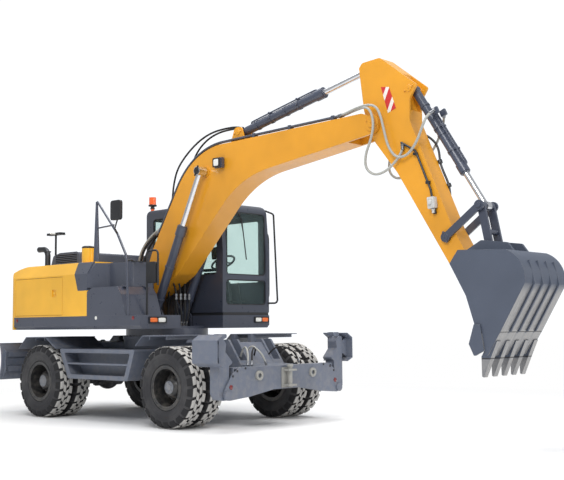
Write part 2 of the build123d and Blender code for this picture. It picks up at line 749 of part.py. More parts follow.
def make_house():
    w = house_half_width
    t = house_wall
    side = outline([(deck_rear, deck_top), (deck_rear, house_top - 40, 30), (-1900, house_top, 200),
                    (tank_rear_x, house_top), (tank_rear_x, deck_top)])
    hull = side_solid(side, -w, w)
    hull &= front_solid(crown(w, house_top, house_shoulder, deck_top), deck_rear, tank_rear_x)
    left_front = cab_rear - cab_clear
    hull -= block(left_front, tank_rear_x + 10, cab_right - 20, w + 10, deck_top - 10, house_top + 10)
    hull -= block(house_front, tank_rear_x + 10, tank_inner_y, w + 10, deck_top - 10, house_top + 10)
    room = front_solid(crown(w - t, house_top - t, house_shoulder - 15, deck_top - 5), deck_rear + t,
                       tank_rear_x - t)
    room -= block(left_front - t, tank_rear_x, cab_right - 20 - t, w + 10, deck_top - 10, house_top)
    room -= block(house_front - t, tank_rear_x, tank_inner_y - t, w + 10, deck_top - 10, house_top)
    hull -= room
    low = deck_top + 20
    hull -= door_hole(door_rear, door_front, low, door_top)
    hull -= mirrored(door_hole(door_rear, left_front - t - 10, low, door_top))
    hull -= block(cowl_rear + 60, cowl_front - 60, cowl_right + 60, cowl_left - 60, house_top - t - 20,
                  house_top + 10)
    hull -= tank_panel()
    parts["house"] = hull
    right_leaf = engine_door(door_rear, door_front, low, door_top)
    parts["engine_door_right"] = with_handle(right_leaf, door_front - 260)
    left_end = left_front - t - 10
    left_leaf = with_handle(engine_door(door_rear, left_end, low, door_top), left_end - 180)
    left_leaf = with_grille(left_leaf, door_rear + 130, left_end - 260, low + 90, door_top - 90)
    parts["engine_door_left"] = mirrored(left_leaf)
    parts["engine_block"] = block(-1700, -1000, -420, 420, deck_top, 2020)
    cowl = outline([(cowl_rear, house_top + seat_fit), (cowl_rear + 60, cowl_top - 40, 60),
                    (cowl_rear + 230, cowl_top, 150), (cowl_front - 60, cowl_top, 60),
                    (cowl_front, house_top + seat_fit)])
    lid = side_solid(cowl, cowl_right, cowl_left)
    inner = offset(cowl, amount=-cowl_wall)
    lid -= side_solid(inner, cowl_right + cowl_wall, cowl_left - cowl_wall)
    lid -= block(cowl_rear + 60, cowl_front - 60, cowl_right + 60, cowl_left - 60, house_top, house_top + 60)
    for index in range(5):
        z = house_top + 45 + index * 26
        lid -= block(cowl_rear + 120, cowl_front - 90, cowl_right - 5, cowl_right + cowl_wall + 5, z, z + 12)
    hinge_y = cowl_left + lid_hinge_rise
    hinge_z = house_top + seat_fit + lid_hinge_rise
    for x in (cowl_rear + 160, cowl_front - 240):
        lid += block(x, x + 80, cowl_left - 5, hinge_y, hinge_z - 6, hinge_z + 6)
        lid += round_x(x, x + 80, hinge_y, hinge_z, lid_hinge_radius)
    parts["engine_cowl"] = lid
    parts["counterweight"] = counterweight()


def door_hole(x0, x1, z0, z1):
    """The opening of a right-hand door: full size outside, with a rim inside to close on."""
    w = house_half_width
    r = door_rim
    outer = block(x0, x1, -w - 5, -w + door_thickness + seat_fit, z0, z1)
    return outer + block(x0 + r, x1 - r, -w - 5, -w + house_wall + 5, z0 + r, z1 - r)


def engine_door(x0, x1, z0, z1):
    """A right-hand door leaf with its gap all round and its hinges at the rear edge."""
    w = house_half_width
    g = door_gap
    leaf = block(x0 + g, x1 - g, -w, -w + door_thickness, z0 + g, z1 - g)
    for z in (z0 + 80, z1 - 160):
        leaf += round_z(x0 + g, -w, z, z + 80, hinge_radius)
    return leaf


def with_handle(leaf, x):
    """A door leaf with the square recess and the pull of its latch."""
    w = house_half_width
    leaf -= block(x, x + 100, -w - 5, -w + 16, 1750, 1850)
    return leaf + block(x + 20, x + 80, -w + 4, -w + 20, 1785, 1815)


def with_grille(leaf, x0, x1, z0, z1):
    """A door leaf with a field of level air slots through it."""
    w = house_half_width
    for index in range(slot_count):
        z = z0 + index * (z1 - z0) / slot_count
        leaf -= block(x0, x1, -w - 10, -w + door_thickness + 10, z, z + slot_height)
    return leaf


def counterweight():
    """The counterweight, curved in plan and rounded over at its top and bottom."""
    w = house_half_width
    r = counterweight_rear
    side = outline([(deck_rear, deck_bottom), (r + 70, deck_bottom, 60), (r, 1420, 120), (r + 10, 1990, 80),
                    (r + 90, 2130, 80), (deck_rear, house_top - 40)])
    plan = outline([(deck_rear + 50, -w), (r + 130, -w, 110), (r, 600 - w, 500), (r, w - 600, 500),
                    (r + 130, w, 110), (deck_rear + 50, w)])
    weight = side_solid(side, -w, w)
    weight &= plan_solid(plan, deck_bottom - 10, 2300)
    weight &= front_solid(crown(w, house_top, house_shoulder, deck_bottom), r - 10, deck_rear)
    return weight


def tank_panel():
    """The slate panel that carries the tank's form back over the hood's right shoulder."""
    w = house_half_width
    face = outline([(-625, house_top + 10), (-486, 1819), (tank_rear_x + 5, 1819),
                    (tank_rear_x + 5, house_top + 10)])
    panel = side_solid(face, -w - 5, -w + shoulder_run + 25)
    return panel


def make_tank():
    w = house_half_width
    panel = tank_panel()
    panel &= front_solid(crown(w, house_top, house_shoulder, deck_top), -700, tank_rear_x)
    plan = outline([(tank_rear_x, -w), (tank_rear_x + 170, tank_side_y, 60), (tank_front, tank_side_y, 60),
                    (tank_front, tank_inner_y, 60), (tank_rear_x, tank_inner_y)])
    tank = plan_solid(plan, deck_top, tank_top)
    low_box = block(tank_rear_x - 5, box_front + 5, -w - 5, box_inner_y, deck_top - 5, box_lid_top)
    tank -= low_box
    section = outline([(-w - 5, deck_top - 5), (-w, house_shoulder - 25), (-w + shoulder_run, tank_top + 5),
                       (tank_inner_y + 5, tank_top + 5), (tank_inner_y + 5, deck_top - 5)])
    tank &= front_solid(section, tank_rear_x, tank_front)
    parts["fuel_tank"] = [tank, panel]
    profile = outline([(tank_rear_x, deck_top), (tank_rear_x, box_lid_top - 55),
                       (tank_rear_x + 120, box_lid_top),
                       (400, box_lid_top), (490, box_lid_seam), (box_front, deck_top)])
    box = side_solid(profile, -w, box_inner_y)
    lid_cut = outline([(tank_front + 12, box_lid_top + 5), (tank_front + 12, box_lid_top - 40),
                       (440, box_lid_seam), (500, box_lid_seam), (500, box_lid_top + 5)])
    cut = side_solid(lid_cut, -w - 5, box_inner_y + 5)
    lid_form = outline([(tank_front + 12, box_lid_top), (tank_front + 12, box_lid_top - 40 + seat_fit),
                        (440, box_lid_seam + seat_fit), (490, box_lid_seam + seat_fit), (400, box_lid_top)])
    inner = outline([(tank_rear_x + 40, deck_top + 40), (tank_rear_x + 40, box_lid_top - 65),
                     (406, box_lid_top - 65),
                     (440, box_lid_seam), (465, box_lid_seam), (box_front - 40, deck_top + 40)])
    room = side_solid(inner, -w + 40, box_inner_y - 40)
    parts["tool_box"] = box - cut - room
    lid = side_solid(lid_form, -w, box_inner_y)
    hinge_x = tank_front + 12
    hinge_z = box_lid_top + lid_hinge_radius + seat_fit
    for y in (-w + 90, box_inner_y - 170):
        lid += round_y(hinge_x, hinge_z, y, y + 80, lid_hinge_radius)
        lid += block(hinge_x, hinge_x + 60, y, y + 80, box_lid_top - 5, box_lid_top + lid_hinge_radius)
    parts["tool_box_lid"] = lid


def pane(u0, u1, v0, v1, radius):
    """A window's outline with round corners."""
    return outline([(u0, v0, radius), (u0, v1, radius), (u1, v1, radius), (u1, v0, radius)])


def cab_form():
    """The cab's outer form, with nothing cut out of it."""
    side = outline([(cab_rear, cab_floor), (cab_rear, cab_roof - 20, 90), (cab_front - 60, cab_roof, 160),
                    (cab_front, 2400), (cab_front - 10, cab_floor)])
    box = outline([(cab_right, cab_floor), (cab_right, cab_roof, 60), (cab_left, cab_roof, 60),
                   (cab_left, cab_floor)])
    return side_solid(side, cab_right, cab_left) & front_solid(box, cab_rear - 10, cab_front + 10)


def make_cab():
    t = cab_wall
    shell = cab_form() - block(cab_rear + t, cab_front - t - 10, cab_right + t, cab_left - t, cab_floor + t,
                          cab_roof - 90)
    depth = t + 30
    windows = {
        "front_upper": (cab_front - depth, cab_front + 10, cab_right + 70, cab_left - 70, 2050, 2980),
        "front_lower": (cab_front - depth, cab_front + 10, cab_right + 70, cab_left - 70, 1610, 1980),
        "right": (-660, 760, cab_right - 5, cab_right + t + 5, 2050, 2960),
        "rear": (cab_rear - 5, cab_rear + t + 5, cab_right + 90, cab_left - 90, 2250, 2960),
        "left": (-690, -160, cab_left - t - 5, cab_left + 5, 2100, 2960),
    }
    panes = []
    g = seat_fit
    for name, (x0, x1, y0, y1, z0, z1) in windows.items():
        if name in ("front_upper", "front_lower", "rear"):
            shell -= front_solid(pane(y0, y1, z0, z1, window_corner), x0, x1)
            near = cab_rear + 20 if name == "rear" else cab_front - 40
            face = pane(y0 + g, y1 - g, z0 + g, z1 - g, window_corner - g)
            panes.append(front_solid(face, near, near + glass))
        else:
            shell -= side_solid(pane(x0, x1, z0, z1, window_corner), y0, y1)
            near = cab_right + 20 if name == "right" else cab_left - 20 - glass
            face = pane(x0 + g, x1 - g, z0 + g, z1 - g, window_corner - g)
            panes.append(side_solid(face, near, near + glass))
    parts["cab_glass"] = panes
    x0, x1, z0, z1 = cab_door_rear, cab_door_front, cab_door_bottom, cab_door_top
    inner = cab_left - cab_door_thickness
    r = 8
    shell -= block(x0, x1, inner - g, cab_left + 5, z0, z1)
    shell -= block(x0 + r, x1 - r, cab_left - t - 5, cab_left + 5, z0 + r, z1 - r)
    for x in (cab_rear + 90, cab_front - 110):
        for y in (cab_right + 90, cab_left - 110):
            shell += round_z(x, y, deck_top, cab_floor + 5, 45)
    shell += block(-480, 330, cab_right + 150, cab_left - 150, cab_roof - 40, cab_roof + roof_panel)
    for x in range(-430, 300, 120):
        shell += block(x, x + 40, cab_right + 170, cab_left - 170, cab_roof, cab_roof + roof_panel + 10)
    parts["cab_shell"] = shell
    d = door_gap
    door = block(x0 + d, x1 - d, inner, cab_left, z0 + d, z1 - d)
    opening = (x0 + 80, x1 - 80, 1950, z1 - 80)
    door -= side_solid(pane(*opening, window_corner), inner - 5, cab_left + 5)
    door -= block(x1 - 190, x1 - 60, cab_left - 14, cab_left + 5, 1830, 1880)
    door += block(x1 - 192, x1 - 58, cab_left - 8, cab_left, 1846, 1864)
    for z in (z0 + 90, z1 - 190):
        door += round_z(x0 + d, cab_left, z, z + 110, hinge_radius)
    parts["cab_door"] = door
    edges = (opening[0] + g, opening[1] - g, opening[2] + g, opening[3] - g)
    parts["cab_door_glass"] = side_solid(pane(*edges, window_corner - g), cab_left - 20 - glass, cab_left - 20)
    reach = (cab_left - cab_right) / 2 - cab_wall - console_gap
    make_cab_inside(cab_floor + t, (cab_right + cab_left) / 2, reach)
    guard = pipe([(cab_front - 90, cab_left + 20, 3050), (cab_front + 60, cab_left + 40, 2990),
                  (cab_front + 130, cab_left + 40, 1640), (cab_front - 60, cab_left - 30, 1640)], 14, 50)
    guard += block(cab_front + 58, cab_front + 86, cab_left - 70, cab_left + 40, 2700, 2980)
    parts["mirrors"] = [guard - cab_form()]


def make_cab_inside(floor, middle, reach):
    """The seat, its base with the two consoles out to reach, and the steering column with its wheel."""
    seat_half = reach - console_width - console_seat_gap
    seat = block(-420, 60, middle - seat_half, middle + seat_half, 1960, 2080)
    back = outline([(-430, 2060), (-560, 2700, 60), (-440, 2720, 60), (-320, 2075)])
    parts["seat"] = seat + side_solid(back, middle - seat_half + 10, middle + seat_half - 10)
    base = block(-380, 20, middle - seat_half + 60, middle + seat_half - 60, floor, 1960)
    for side in (-1, 1):
        near, far = sorted((middle + side * (reach - console_width), middle + side * reach))
        base += block(-300, 120, near, far, floor, 2140)
    base += block(-300, 20, middle - reach + 60, middle + reach - 60, floor, floor + 60)
    column = rod_between((560, floor - 30), (400, 2230), middle, 40) - block(300, 900, 0, 2000, 1000, floor)
    turn = Pos(390, middle, 2260) * Rot(0, -30, 0)
    column += turn * Torus(180, 16) + turn * Box(24, 360, 12)
    column += Pos(390, middle, 2250) * Rot(0, -30, 0) * Cylinder(45, 50)
    parts["cab_controls"] = [base, column]


def make_fittings():
    w = house_half_width
    y = cowl_right
    x = cowl_rear - 85
    high = house_top + 270
    parts["exhaust"] = pipe([(x, y, house_top), (x, y, high), (x - 215, y, high + 6)], 42, 110)
    y = 250 - w
    cleaner = round_z(-575, y, house_top, 2440, 95) + round_z(-575, y, 2440, 2475, 70)
    parts["precleaner"] = cleaner
    post_x, post_y, post_top = -318, 200 - w, 3090
    rail_y = 22 - w
    rail = pipe([(621, rail_y, deck_top - 30), (575, rail_y, 2260), (320, rail_y + 48, 2580),
                 (post_x + 18, post_y, post_top)], 17, 150)
    rail -= block(500, 700, rail_y - 70, rail_y + 130, deck_top - 60, deck_top)
    post = Pos(post_x, post_y, (house_top + post_top) / 2) * Cone(45, 17, post_top - house_top)
    link = pipe([(post_x, post_y, 2710), (215, rail_y + 68, 2712)], 12, 0)
    parts["handrail"] = rail + post + link
    arm = pipe([(320, rail_y + 48, 2580), (400, -w - 40, 2640), (470, -w - 50, 2760)], 10, 30) - rail
    arm += block(350, 565, -w - 80, -w - 40, 2750, 3020)
    y = 350 - w
    front = pipe([(612, y, deck_top), (612, y, 2341), (842, y, 2341), (842, y, 1865)], 14, 60)
    front += block(640, 820, y - 25, y + 15, 1893, 2187) + block(600, 850, y - 6, y + 6, 2100, 2112)
    parts["mirrors"] += [arm, front]
    x, y = -750, 350
    parts["beacon"] = (round_z(x, y, cab_roof - 60, cab_roof + 60, 28) - cab_form()
                       + round_z(x, y, cab_roof + 60, cab_roof + 200, 55))
    x, y = -1860, cowl_right + 230
    lamp = block(x - 175, x + 175, y - 50, y + 50, 2740, 2775)
    parts["work_lamp"] = lamp + round_z(x, y, house_top, 2740, 16)


def boom_body():
    """The boom's side outline, straight runs joined by two large bends."""
    foot_x, foot_z = boom_foot
    tip_x, tip_z = boom_tip
    side = outline([
        (foot_x - 150, foot_z - 20, 100), (30, 2450, 60), (*boom_top_rear, 1100), (*boom_top_front, 120),
        (tip_x + 120, tip_z + 30, 90), (tip_x + 70, tip_z - 115, 90), (tip_x - 80, tip_z - 140, 80),
        (1809, 3291, 1500), (560, 2040, 200), (foot_x + 130, foot_z - 105, 60), (foot_x - 60, foot_z - 155, 80)])
    boom = side_solid(side, work_y - boom_half, work_y + boom_half)
    boom -= block(fork_slot_rear, tip_x + 300, work_y - fork_inner_half, work_y + fork_inner_half, 3300, 4000)
    boom -= round_y(foot_x, foot_z, work_y - 300, work_y + 300, pin_radius + 10 + pin_fit)
    return boom


def boom_top(x):
    """The height of the boom's straight top at x."""
    share = (x - boom_top_rear[0]) / (boom_top_front[0] - boom_top_rear[0])
    return boom_top_rear[1] + share * (boom_top_front[1] - boom_top_rear[1])


def boom_fittings():
    """The pipes clamped along each side of the boom's top, and the lamp on its right side."""
    radius = 14
    rise = 35
    start = (135, 2680)
    bend_point = (861, boom_top(861) + rise)
    end = (3500, boom_top(3500) + rise)
    pieces = []
    for side in (-1, 1):
        group = None
        for y in (work_y + side * 118, work_y + side * 152):
            line = pipe([(start[0], y, start[1]), (bend_point[0], y, bend_point[1]), (end[0], y, end[1])],
                        radius, 1100 + rise)
            group = line if group is None else group + line
        near, far = sorted((work_y + side * 98, work_y + side * (boom_half - 1)))
        for x in (2060, 2700, 3420):
            foot = boom_top(x + 22) + seat_fit
            group += block(x - 22, x + 22, near, far, foot, foot + rise + radius + 6)
        pieces.append(group)
    lamp_y = work_y - boom_half - seat_fit
    lamp = block(1395, 1535, lamp_y - 75, lamp_y - 25, 3455, 3595)
    pieces.append(lamp + block(1440, 1490, lamp_y - 40, lamp_y, 3500, 3560))
    return pieces


def arm_fittings():
    """The hydraulic line down the arm's right side, with its stop valve and clamps."""
    y = work_y - arm_half - seat_fit - 22
    route = [(4440, y, 3420), (4640, y, 3300), (4835, y, 2830), (4868, y, 2640)]
    line = pipe(route, 13, 90)
    for x, z in ((4640, 3262), (4801, 2912)):
        line += block(x - 24, x + 24, y - 16, y + 22, z - 16, z + 16)
    line += round_y(4868, 2640, y - 34, y + 22, 44)
    line += rod_between((4868, 2640), (4888, 2545), y, 20)
    return line


def make_boom():
    boom = boom_body()
    foot_x, foot_z = arm_cylinder_foot
    lug = outline([(foot_x - 150, 3760), (foot_x - 60, foot_z + 70, 60), (foot_x + 70, foot_z + 70, 60),
                   (foot_x + 140, 3760)])
    inner = arm_cylinder[3] / 2 + side_gap
    for near, far in ((work_y - inner - 25, work_y - inner), (work_y + inner, work_y + inner + 25)):
        boom += side_solid(lug, near, far)
    boom += round_y(foot_x, foot_z, work_y - inner - 25, work_y + inner + 25, pin_radius - 6)
    boom += round_y(*boom_tip, work_y - boom_half - 12, work_y + boom_half + 12, pin_radius)
    boom += round_y(*boom_cylinder_pin, work_y - boom_half - 14, work_y + boom_half + 14, 75)
    boss = round_y(*boom_tip, work_y - boom_half - 10, work_y + boom_half + 10, 100)
    boom += boss - round_y(*boom_tip, work_y - boom_half + 5, work_y + boom_half - 5, 105)
    parts["boom"] = boom
    parts["boom_fittings"] = boom_fittings()
    y = work_y - boom_cylinder_offset
    barrel, rod = cylinder(boom_cylinder_foot, boom_cylinder_pin, y, boom_cylinder, pin_radius)
    rod += round_y(*boom_cylinder_pin, y, work_y - boom_half - 14 - side_gap, pin_radius)
    parts["boom_cylinder_barrels"] = [barrel, about_work_plane(barrel)]
    parts["boom_cylinder_rods"] = [rod, about_work_plane(rod)]
    barrel, rod = cylinder(arm_cylinder_foot, arm_cylinder_pin, work_y, arm_cylinder, pin_radius - 6)
    reach = arm_half - arm_wall - side_gap
    rod += round_y(*arm_cylinder_pin, work_y - reach, work_y + reach, pin_radius)
    parts["arm_cylinder_barrel"] = barrel
    parts["arm_cylinder_rod"] = rod


def make_arm():
    tip_x, tip_z = arm_tip
    side = outline([
        (3822, 4420, 30), (3870, 4478, 50), (4136, 4495, 60), (4660, 4080, 30), (4556, 3930, 40),
        (4552, 3669, 200), (5100, 2375), (tip_x + 112, tip_z + 60, 80), (tip_x + 60, tip_z - 115, 90),
        (tip_x - 95, tip_z - 60, 80), (4365, 3075, 300), (4030, 3500, 300), (3890, 3880, 150)])
    arm = side_solid(side, work_y - arm_half, work_y + arm_half)
    low = work_y - arm_half + arm_wall
    high = work_y + arm_half - arm_wall
    arm -= side_solid(outline([(3700, 4300), (3990, 4330, 60), (4010, 4600), (3700, 4600)]), low, high)
    arm -= side_solid(outline([(4440, 4300), (4440, 4010, 60), (4520, 3820, 60), (4700, 3700), (4900, 4300)]),
                      low, high)
    arm -= round_y(*boom_tip, low - 50, high + 50, pin_radius + pin_fit)
    arm -= round_y(*arm_tip, low - 50, high + 50, pin_radius + pin_fit)
    arm += round_y(*bucket_cylinder_foot, work_y - arm_half, work_y + arm_half, pin_radius - 4)
    arm += round_y(*rocker_pin, work_y - arm_half - 30, work_y + arm_half + 30, pin_radius - 8)
    parts["arm"] = arm
    parts["arm_fittings"] = arm_fittings()
    barrel, rod = cylinder(bucket_cylinder_foot, rod_end_pin, work_y, bucket_cylinder, pin_radius - 4)
    parts["bucket_cylinder_barrel"] = barrel
    parts["bucket_cylinder_rod"] = rod
    inner = arm_half + side_gap
    near, far = work_y - inner - 28, work_y - inner
    link = bar(rocker_pin, rod_end_pin, near, far, 84)
    link += round_y(*rod_end_pin, near, far, 58) + round_y(*rocker_pin, near, far, 58)
    link += round_y(*rod_end_pin, near - 14, far + side_gap, 30)
    link -= round_y(*rocker_pin, near - 5, far + 5, pin_radius - 8 + pin_fit)
    parts["guide_links"] = [link, about_work_plane(link)]


def make_bucket():
    link_outer = arm_half - side_gap - 4
    plate = 30
    middle = bucket_cylinder[3] / 2 + side_gap
    link = bar(rod_end_pin, bucket_link_pin, work_y - link_outer, work_y - link_outer + plate, 92)
    link += round_y(*rod_end_pin, work_y - link_outer, work_y - middle, 46)
    link += about_work_plane(link)
    link += round_y(*along(rod_end_pin, bucket_link_pin, 300), work_y - link_outer, work_y + link_outer, 30)
    link -= round_y(*bucket_link_pin, work_y - 300, work_y + 300, 30 + pin_fit)
    parts["bucket_link"] = link
    y0 = work_y - bucket_half
    y1 = work_y + bucket_half
    back = ((5929, 2067), (6100, 1926), (6142, 1708))
    lip = (5838, 1200)
    mouth = (5357, 2093)
    top_edge = along(mouth, back[0], 14)
    form = make_face(Polyline(top_edge, back[0]) + ThreePointArc(*back) + Polyline(back[2], lip, top_edge))
    w = bucket_wall
    run = length_of(back[2], lip)
    over = (w * (lip[1] - back[2][1]) / run, w * (back[2][0] - lip[0]) / run)
    top_in = (back[0][0] - 0.3 * w, back[0][1] - w)
    back_in = (back[2][0] + over[0], back[2][1] + over[1])
    lip_in = along((lip[0] + over[0], lip[1] + over[1]), back_in, -80)
    hollow = make_face(
        Polyline((mouth[0] - 100, mouth[1] - w + 5), top_in)
        + ThreePointArc(top_in, (back[1][0] - 0.7 * w, back[1][1] - 0.7 * w), back_in)
        + Polyline(back_in, lip_in, (mouth[0] - 100, lip_in[1]), (mouth[0] - 100, mouth[1] - w + 5)))
    shell = side_solid(form, y0, y1) - side_solid(hollow, y0 - 5, y1 + 5)
    cheek = make_face(
        Polyline(mouth, back[0]) + ThreePointArc(*back)
        + Polyline(back[2], lip, (5690, 1000), (5590, 1030), (5535, 1315), (5444, 1603), (5251, 1952), mouth))
    bucket = shell + side_solid(cheek, y0, y0 + bucket_wall) + side_solid(cheek, y1 - bucket_wall, y1)
    bucket += side_solid(outline([(5850, 1222), (5826, 1235), (5650, 985), (5690, 965)]), y0, y1)
    bucket += round_y(5394, 2045, y0, y1, 36)
    g = arm_tip
    f = bucket_link_pin
    ear = outline([(g[0] - 60, g[1] - 95, 60), (g[0] - 105, g[1] + 60, 60), (f[0] - 70, f[1] + 68, 60),
                   (5800, 2165, 30), (5880, 2060), (5400, 2040), (g[0] + 110, g[1] - 60, 60)])
    inner = arm_half + side_gap
    ear_plate = side_solid(ear, work_y - inner - 35, work_y - inner)
    bucket += ear_plate
    bucket += about_work_plane(ear_plate)
    bucket += round_y(*g, work_y - inner - 45, work_y + inner + 45, pin_radius)
    bucket += round_y(*f, work_y - inner - 15, work_y + inner + 15, 30)
    strip = outline([(6080, 1945), (6110, 1960), (6166, 1712), (5868, 1214), (5848, 1226), (6132, 1710)])
    tooth = outline([(5760, 1130), (5800, 1120), (5740, 990), (5631, 743), (5612, 752), (5610, 960),
                     (5640, 1010)])
    for index in range(tooth_count):
        y = y0 + 50 + index * (2 * bucket_half - 100) / (tooth_count - 1)
        bucket += side_solid(tooth, y - tooth_width / 2, y + tooth_width / 2)
    for index in range(1, tooth_count):
        y = y0 + index * 2 * bucket_half / tooth_count
        bucket += side_solid(strip, y - 12, y + 12)
    cutter = outline([(5545, 1300, 15), (5620, 1290), (5660, 1020), (5600, 990), (5541, 960, 20),
                      (5478, 1090, 15)])
    bucket += side_solid(cutter, y0 - 20, y0) + side_solid(cutter, y1, y1 + 20)
    parts["bucket"] = bucket


if __name__ == "__main__":
    main()
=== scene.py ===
"""The looks of the wheeled excavator: finishes, dressing, light and camera around its CAD frame.

Metres throughout. Forms are drawn from the slew axis on the ground, as the part's source gives its
places, and at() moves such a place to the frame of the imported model. X points forward, Y to the left
and Z up.
"""

import math

import bmesh
import bpy
from mathutils import Matrix, Vector


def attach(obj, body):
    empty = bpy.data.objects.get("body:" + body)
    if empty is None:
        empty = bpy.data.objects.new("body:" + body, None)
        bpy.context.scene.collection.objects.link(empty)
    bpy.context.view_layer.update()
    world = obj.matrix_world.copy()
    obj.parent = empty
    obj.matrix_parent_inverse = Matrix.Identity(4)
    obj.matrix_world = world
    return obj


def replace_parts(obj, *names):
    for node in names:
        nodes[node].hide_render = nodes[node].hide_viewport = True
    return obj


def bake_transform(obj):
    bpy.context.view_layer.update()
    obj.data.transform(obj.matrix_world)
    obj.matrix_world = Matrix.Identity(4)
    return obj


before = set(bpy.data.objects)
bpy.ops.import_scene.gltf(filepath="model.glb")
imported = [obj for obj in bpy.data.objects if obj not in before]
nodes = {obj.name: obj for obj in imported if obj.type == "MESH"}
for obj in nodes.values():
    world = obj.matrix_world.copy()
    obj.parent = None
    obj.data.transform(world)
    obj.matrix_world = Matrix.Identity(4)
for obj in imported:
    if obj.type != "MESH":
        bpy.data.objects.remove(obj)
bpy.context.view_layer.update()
scene = bpy.context.scene

SLEW_AXIS_X = -1.817
WORK_Y = -0.12
CAB_MIDDLE = 0.7735
ARM_SIDE = WORK_Y - 0.130
UP = (0, 0, 1)
SIDES = (-1, 1)


def at(x, y, z):
    """A place measured from the slew axis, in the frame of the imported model."""
    return tuple(Vector((x + SLEW_AXIS_X, y, z)))


# Finishes

def maths(operation, swapped=False):
    """A method that adds one Math node to a finish."""
    def method(self, *others):
        values = (*others, self) if swapped else (self, *others)
        return self.finish.node("ShaderNodeMath", {"operation": operation}, dict(enumerate(values)))
    return method


class Term:
    """One output of a shader node. Arithmetic on terms adds Math nodes to their finish."""

    def __init__(self, finish, socket):
        self.finish, self.socket = finish, socket

    __add__ = __radd__ = maths("ADD")
    __mul__ = __rmul__ = maths("MULTIPLY")
    __sub__, __rsub__ = maths("SUBTRACT"), maths("SUBTRACT", swapped=True)
    __truediv__, __gt__ = maths("DIVIDE"), maths("GREATER_THAN")
    power, least, most = maths("POWER"), maths("MINIMUM"), maths("MAXIMUM")
    size, wave, fraction = maths("ABSOLUTE"), maths("SINE"), maths("FRACT")

    def rise(self, low, high):
        """0 below low, 1 above high, smooth between."""
        return self.finish.node("ShaderNodeMapRange", {"interpolation_type": "SMOOTHSTEP"},
                                {"Value": self, "From Min": low, "From Max": high})


class Finish:
    """A material made of nodes around one Principled shader."""

    def __init__(self, name):
        self.material = bpy.data.materials.new(name)
        self.material.use_nodes = True
        self.tree = self.material.node_tree
        self.shader = self.tree.nodes["Principled BSDF"]
        self.own = Term(self, self.shader.outputs[0])
        self.here = self.node("ShaderNodeTexCoord", output="Object")

    def node(self, kind, settings=None, inputs=None, output=0):
        """Adds a node: its settings first, then the values or terms of its sockets."""
        made = self.tree.nodes.new(kind)
        for key, value in (settings or {}).items():
            setattr(made, key, value)
        for key, value in (inputs or {}).items():
            self.feed(made.inputs[key], value)
        return Term(self, made.outputs[output])

    def feed(self, socket, value):
        if isinstance(value, Term):
            self.tree.links.new(value.socket, socket)
        else:
            socket.default_value = value

    def set(self, **inputs):
        """Feeds the Principled shader, with underscores for the spaces in its socket names."""
        for key, value in inputs.items():
            self.feed(self.shader.inputs[key.replace("_", " ")], value)
        return self.material

    def show(self, share, one, two):
        """Sends a mix of two shaders to the surface."""
        mixed = self.node("ShaderNodeMixShader", inputs={0: share, 1: one, 2: two})
        self.feed(self.tree.nodes["Material Output"].inputs["Surface"], mixed)
        return self.material

    def place(self, axis):
        """One of the three Object coordinates of a point on the surface."""
        return self.node("ShaderNodeSeparateXYZ", inputs={0: self.here}, output=axis)

    def straight(self):
        return self.node("ShaderNodeNewGeometry", output="Normal")

    def facing(self, axis):
        """How far the surface faces along an axis, from -1 to 1."""
        return self.node("ShaderNodeSeparateXYZ", inputs={0: self.straight()}, output=axis)

    def noise(self, scale, detail=3.0, roughness=0.55, stretch=None):
        """Noise from 0 to 1 at a scale in turns per metre, stretched along an axis if wanted."""
        where = self.here
        if stretch:
            where = self.node("ShaderNodeMapping", inputs={"Vector": where, "Scale": stretch})
        return self.node("ShaderNodeTexNoise", inputs={
            "Vector": where, "Scale": scale, "Detail": detail, "Roughness": roughness})

    def mix(self, factor, low, high):
        """Low where the factor is 0 and high where it is 1, for colours."""
        return self.node("ShaderNodeMix", {"data_type": "RGBA"}, {0: factor, 6: low, 7: high}, 2)

    def bump(self, height, distance, strength, over=None):
        inputs = {"Height": height, "Distance": distance, "Strength": strength}
        return self.node("ShaderNodeBump", inputs=inputs | ({"Normal": over} if over else {}))

    def edge(self, radius):
        """The normal as if every edge were rounded to a radius."""
        return self.node("ShaderNodeBevel", {"samples": 4}, {"Radius": radius})

    def worn(self, rounded):
        """Near 0 on flat faces and more on edges, where the rounded normal leaves the true one."""
        return 1 - self.node("ShaderNodeVectorMath", {"operation": "DOT_PRODUCT"},
                             {0: rounded, 1: self.straight()}, "Value")


def rgb(*shown):
    """A colour as a screen shows it, from 0 to 255, as the linear values a shader takes."""
    return (*(((c / 255 + 0.055) / 1.055) ** 2.4 if c > 10 else c / 255 / 12.92 for c in shown), 1.0)


def shade(colour, share):
    """A darker or lighter colour."""
    return tuple(min(1.0, c * share) for c in colour[:3]) + (1.0,)


DUST = rgb(168, 160, 148)
BARE_STEEL = rgb(150, 150, 150)


def paint(name, colour, roughness, coat, dust, wear=0.0):
    """Sprayed paint: a little uneven, with orange peel, dust low down and rubbed edges."""
    finish = Finish(name)
    fine = finish.noise(14.0, 4.0, 0.6)
    base = finish.mix(finish.noise(0.9).rise(0.3, 0.7), shade(colour, 0.86), shade(colour, 1.07))
    low = 1 - finish.place("Z").rise(0.15, 1.6)
    flat = finish.facing("Z").rise(0.3, 0.95)
    dusty = (low * 0.7 + flat * 0.5 + 0.08) * fine.rise(0.35, 0.75) * dust * 2.0
    base = finish.mix(dusty.least(1.0), base, DUST)
    rough = (fine - 0.5) * 0.16 + roughness + dusty * 0.5
    rounded = finish.edge(0.006)
    if wear:
        rubbed = finish.worn(rounded).rise(0.02, 0.2) * finish.noise(9.0, 4.0, 0.7).rise(0.5, 0.62) * wear
        base = finish.mix(rubbed.least(1.0), base, BARE_STEEL)
        rough = rough - rubbed * 0.1
    return finish.set(Base_Color=base, Roughness=rough.least(0.95), Coat_Weight=coat, Coat_Roughness=0.12,
                      Normal=finish.bump(finish.noise(260.0, 1.0), 0.0004, 0.25, rounded))


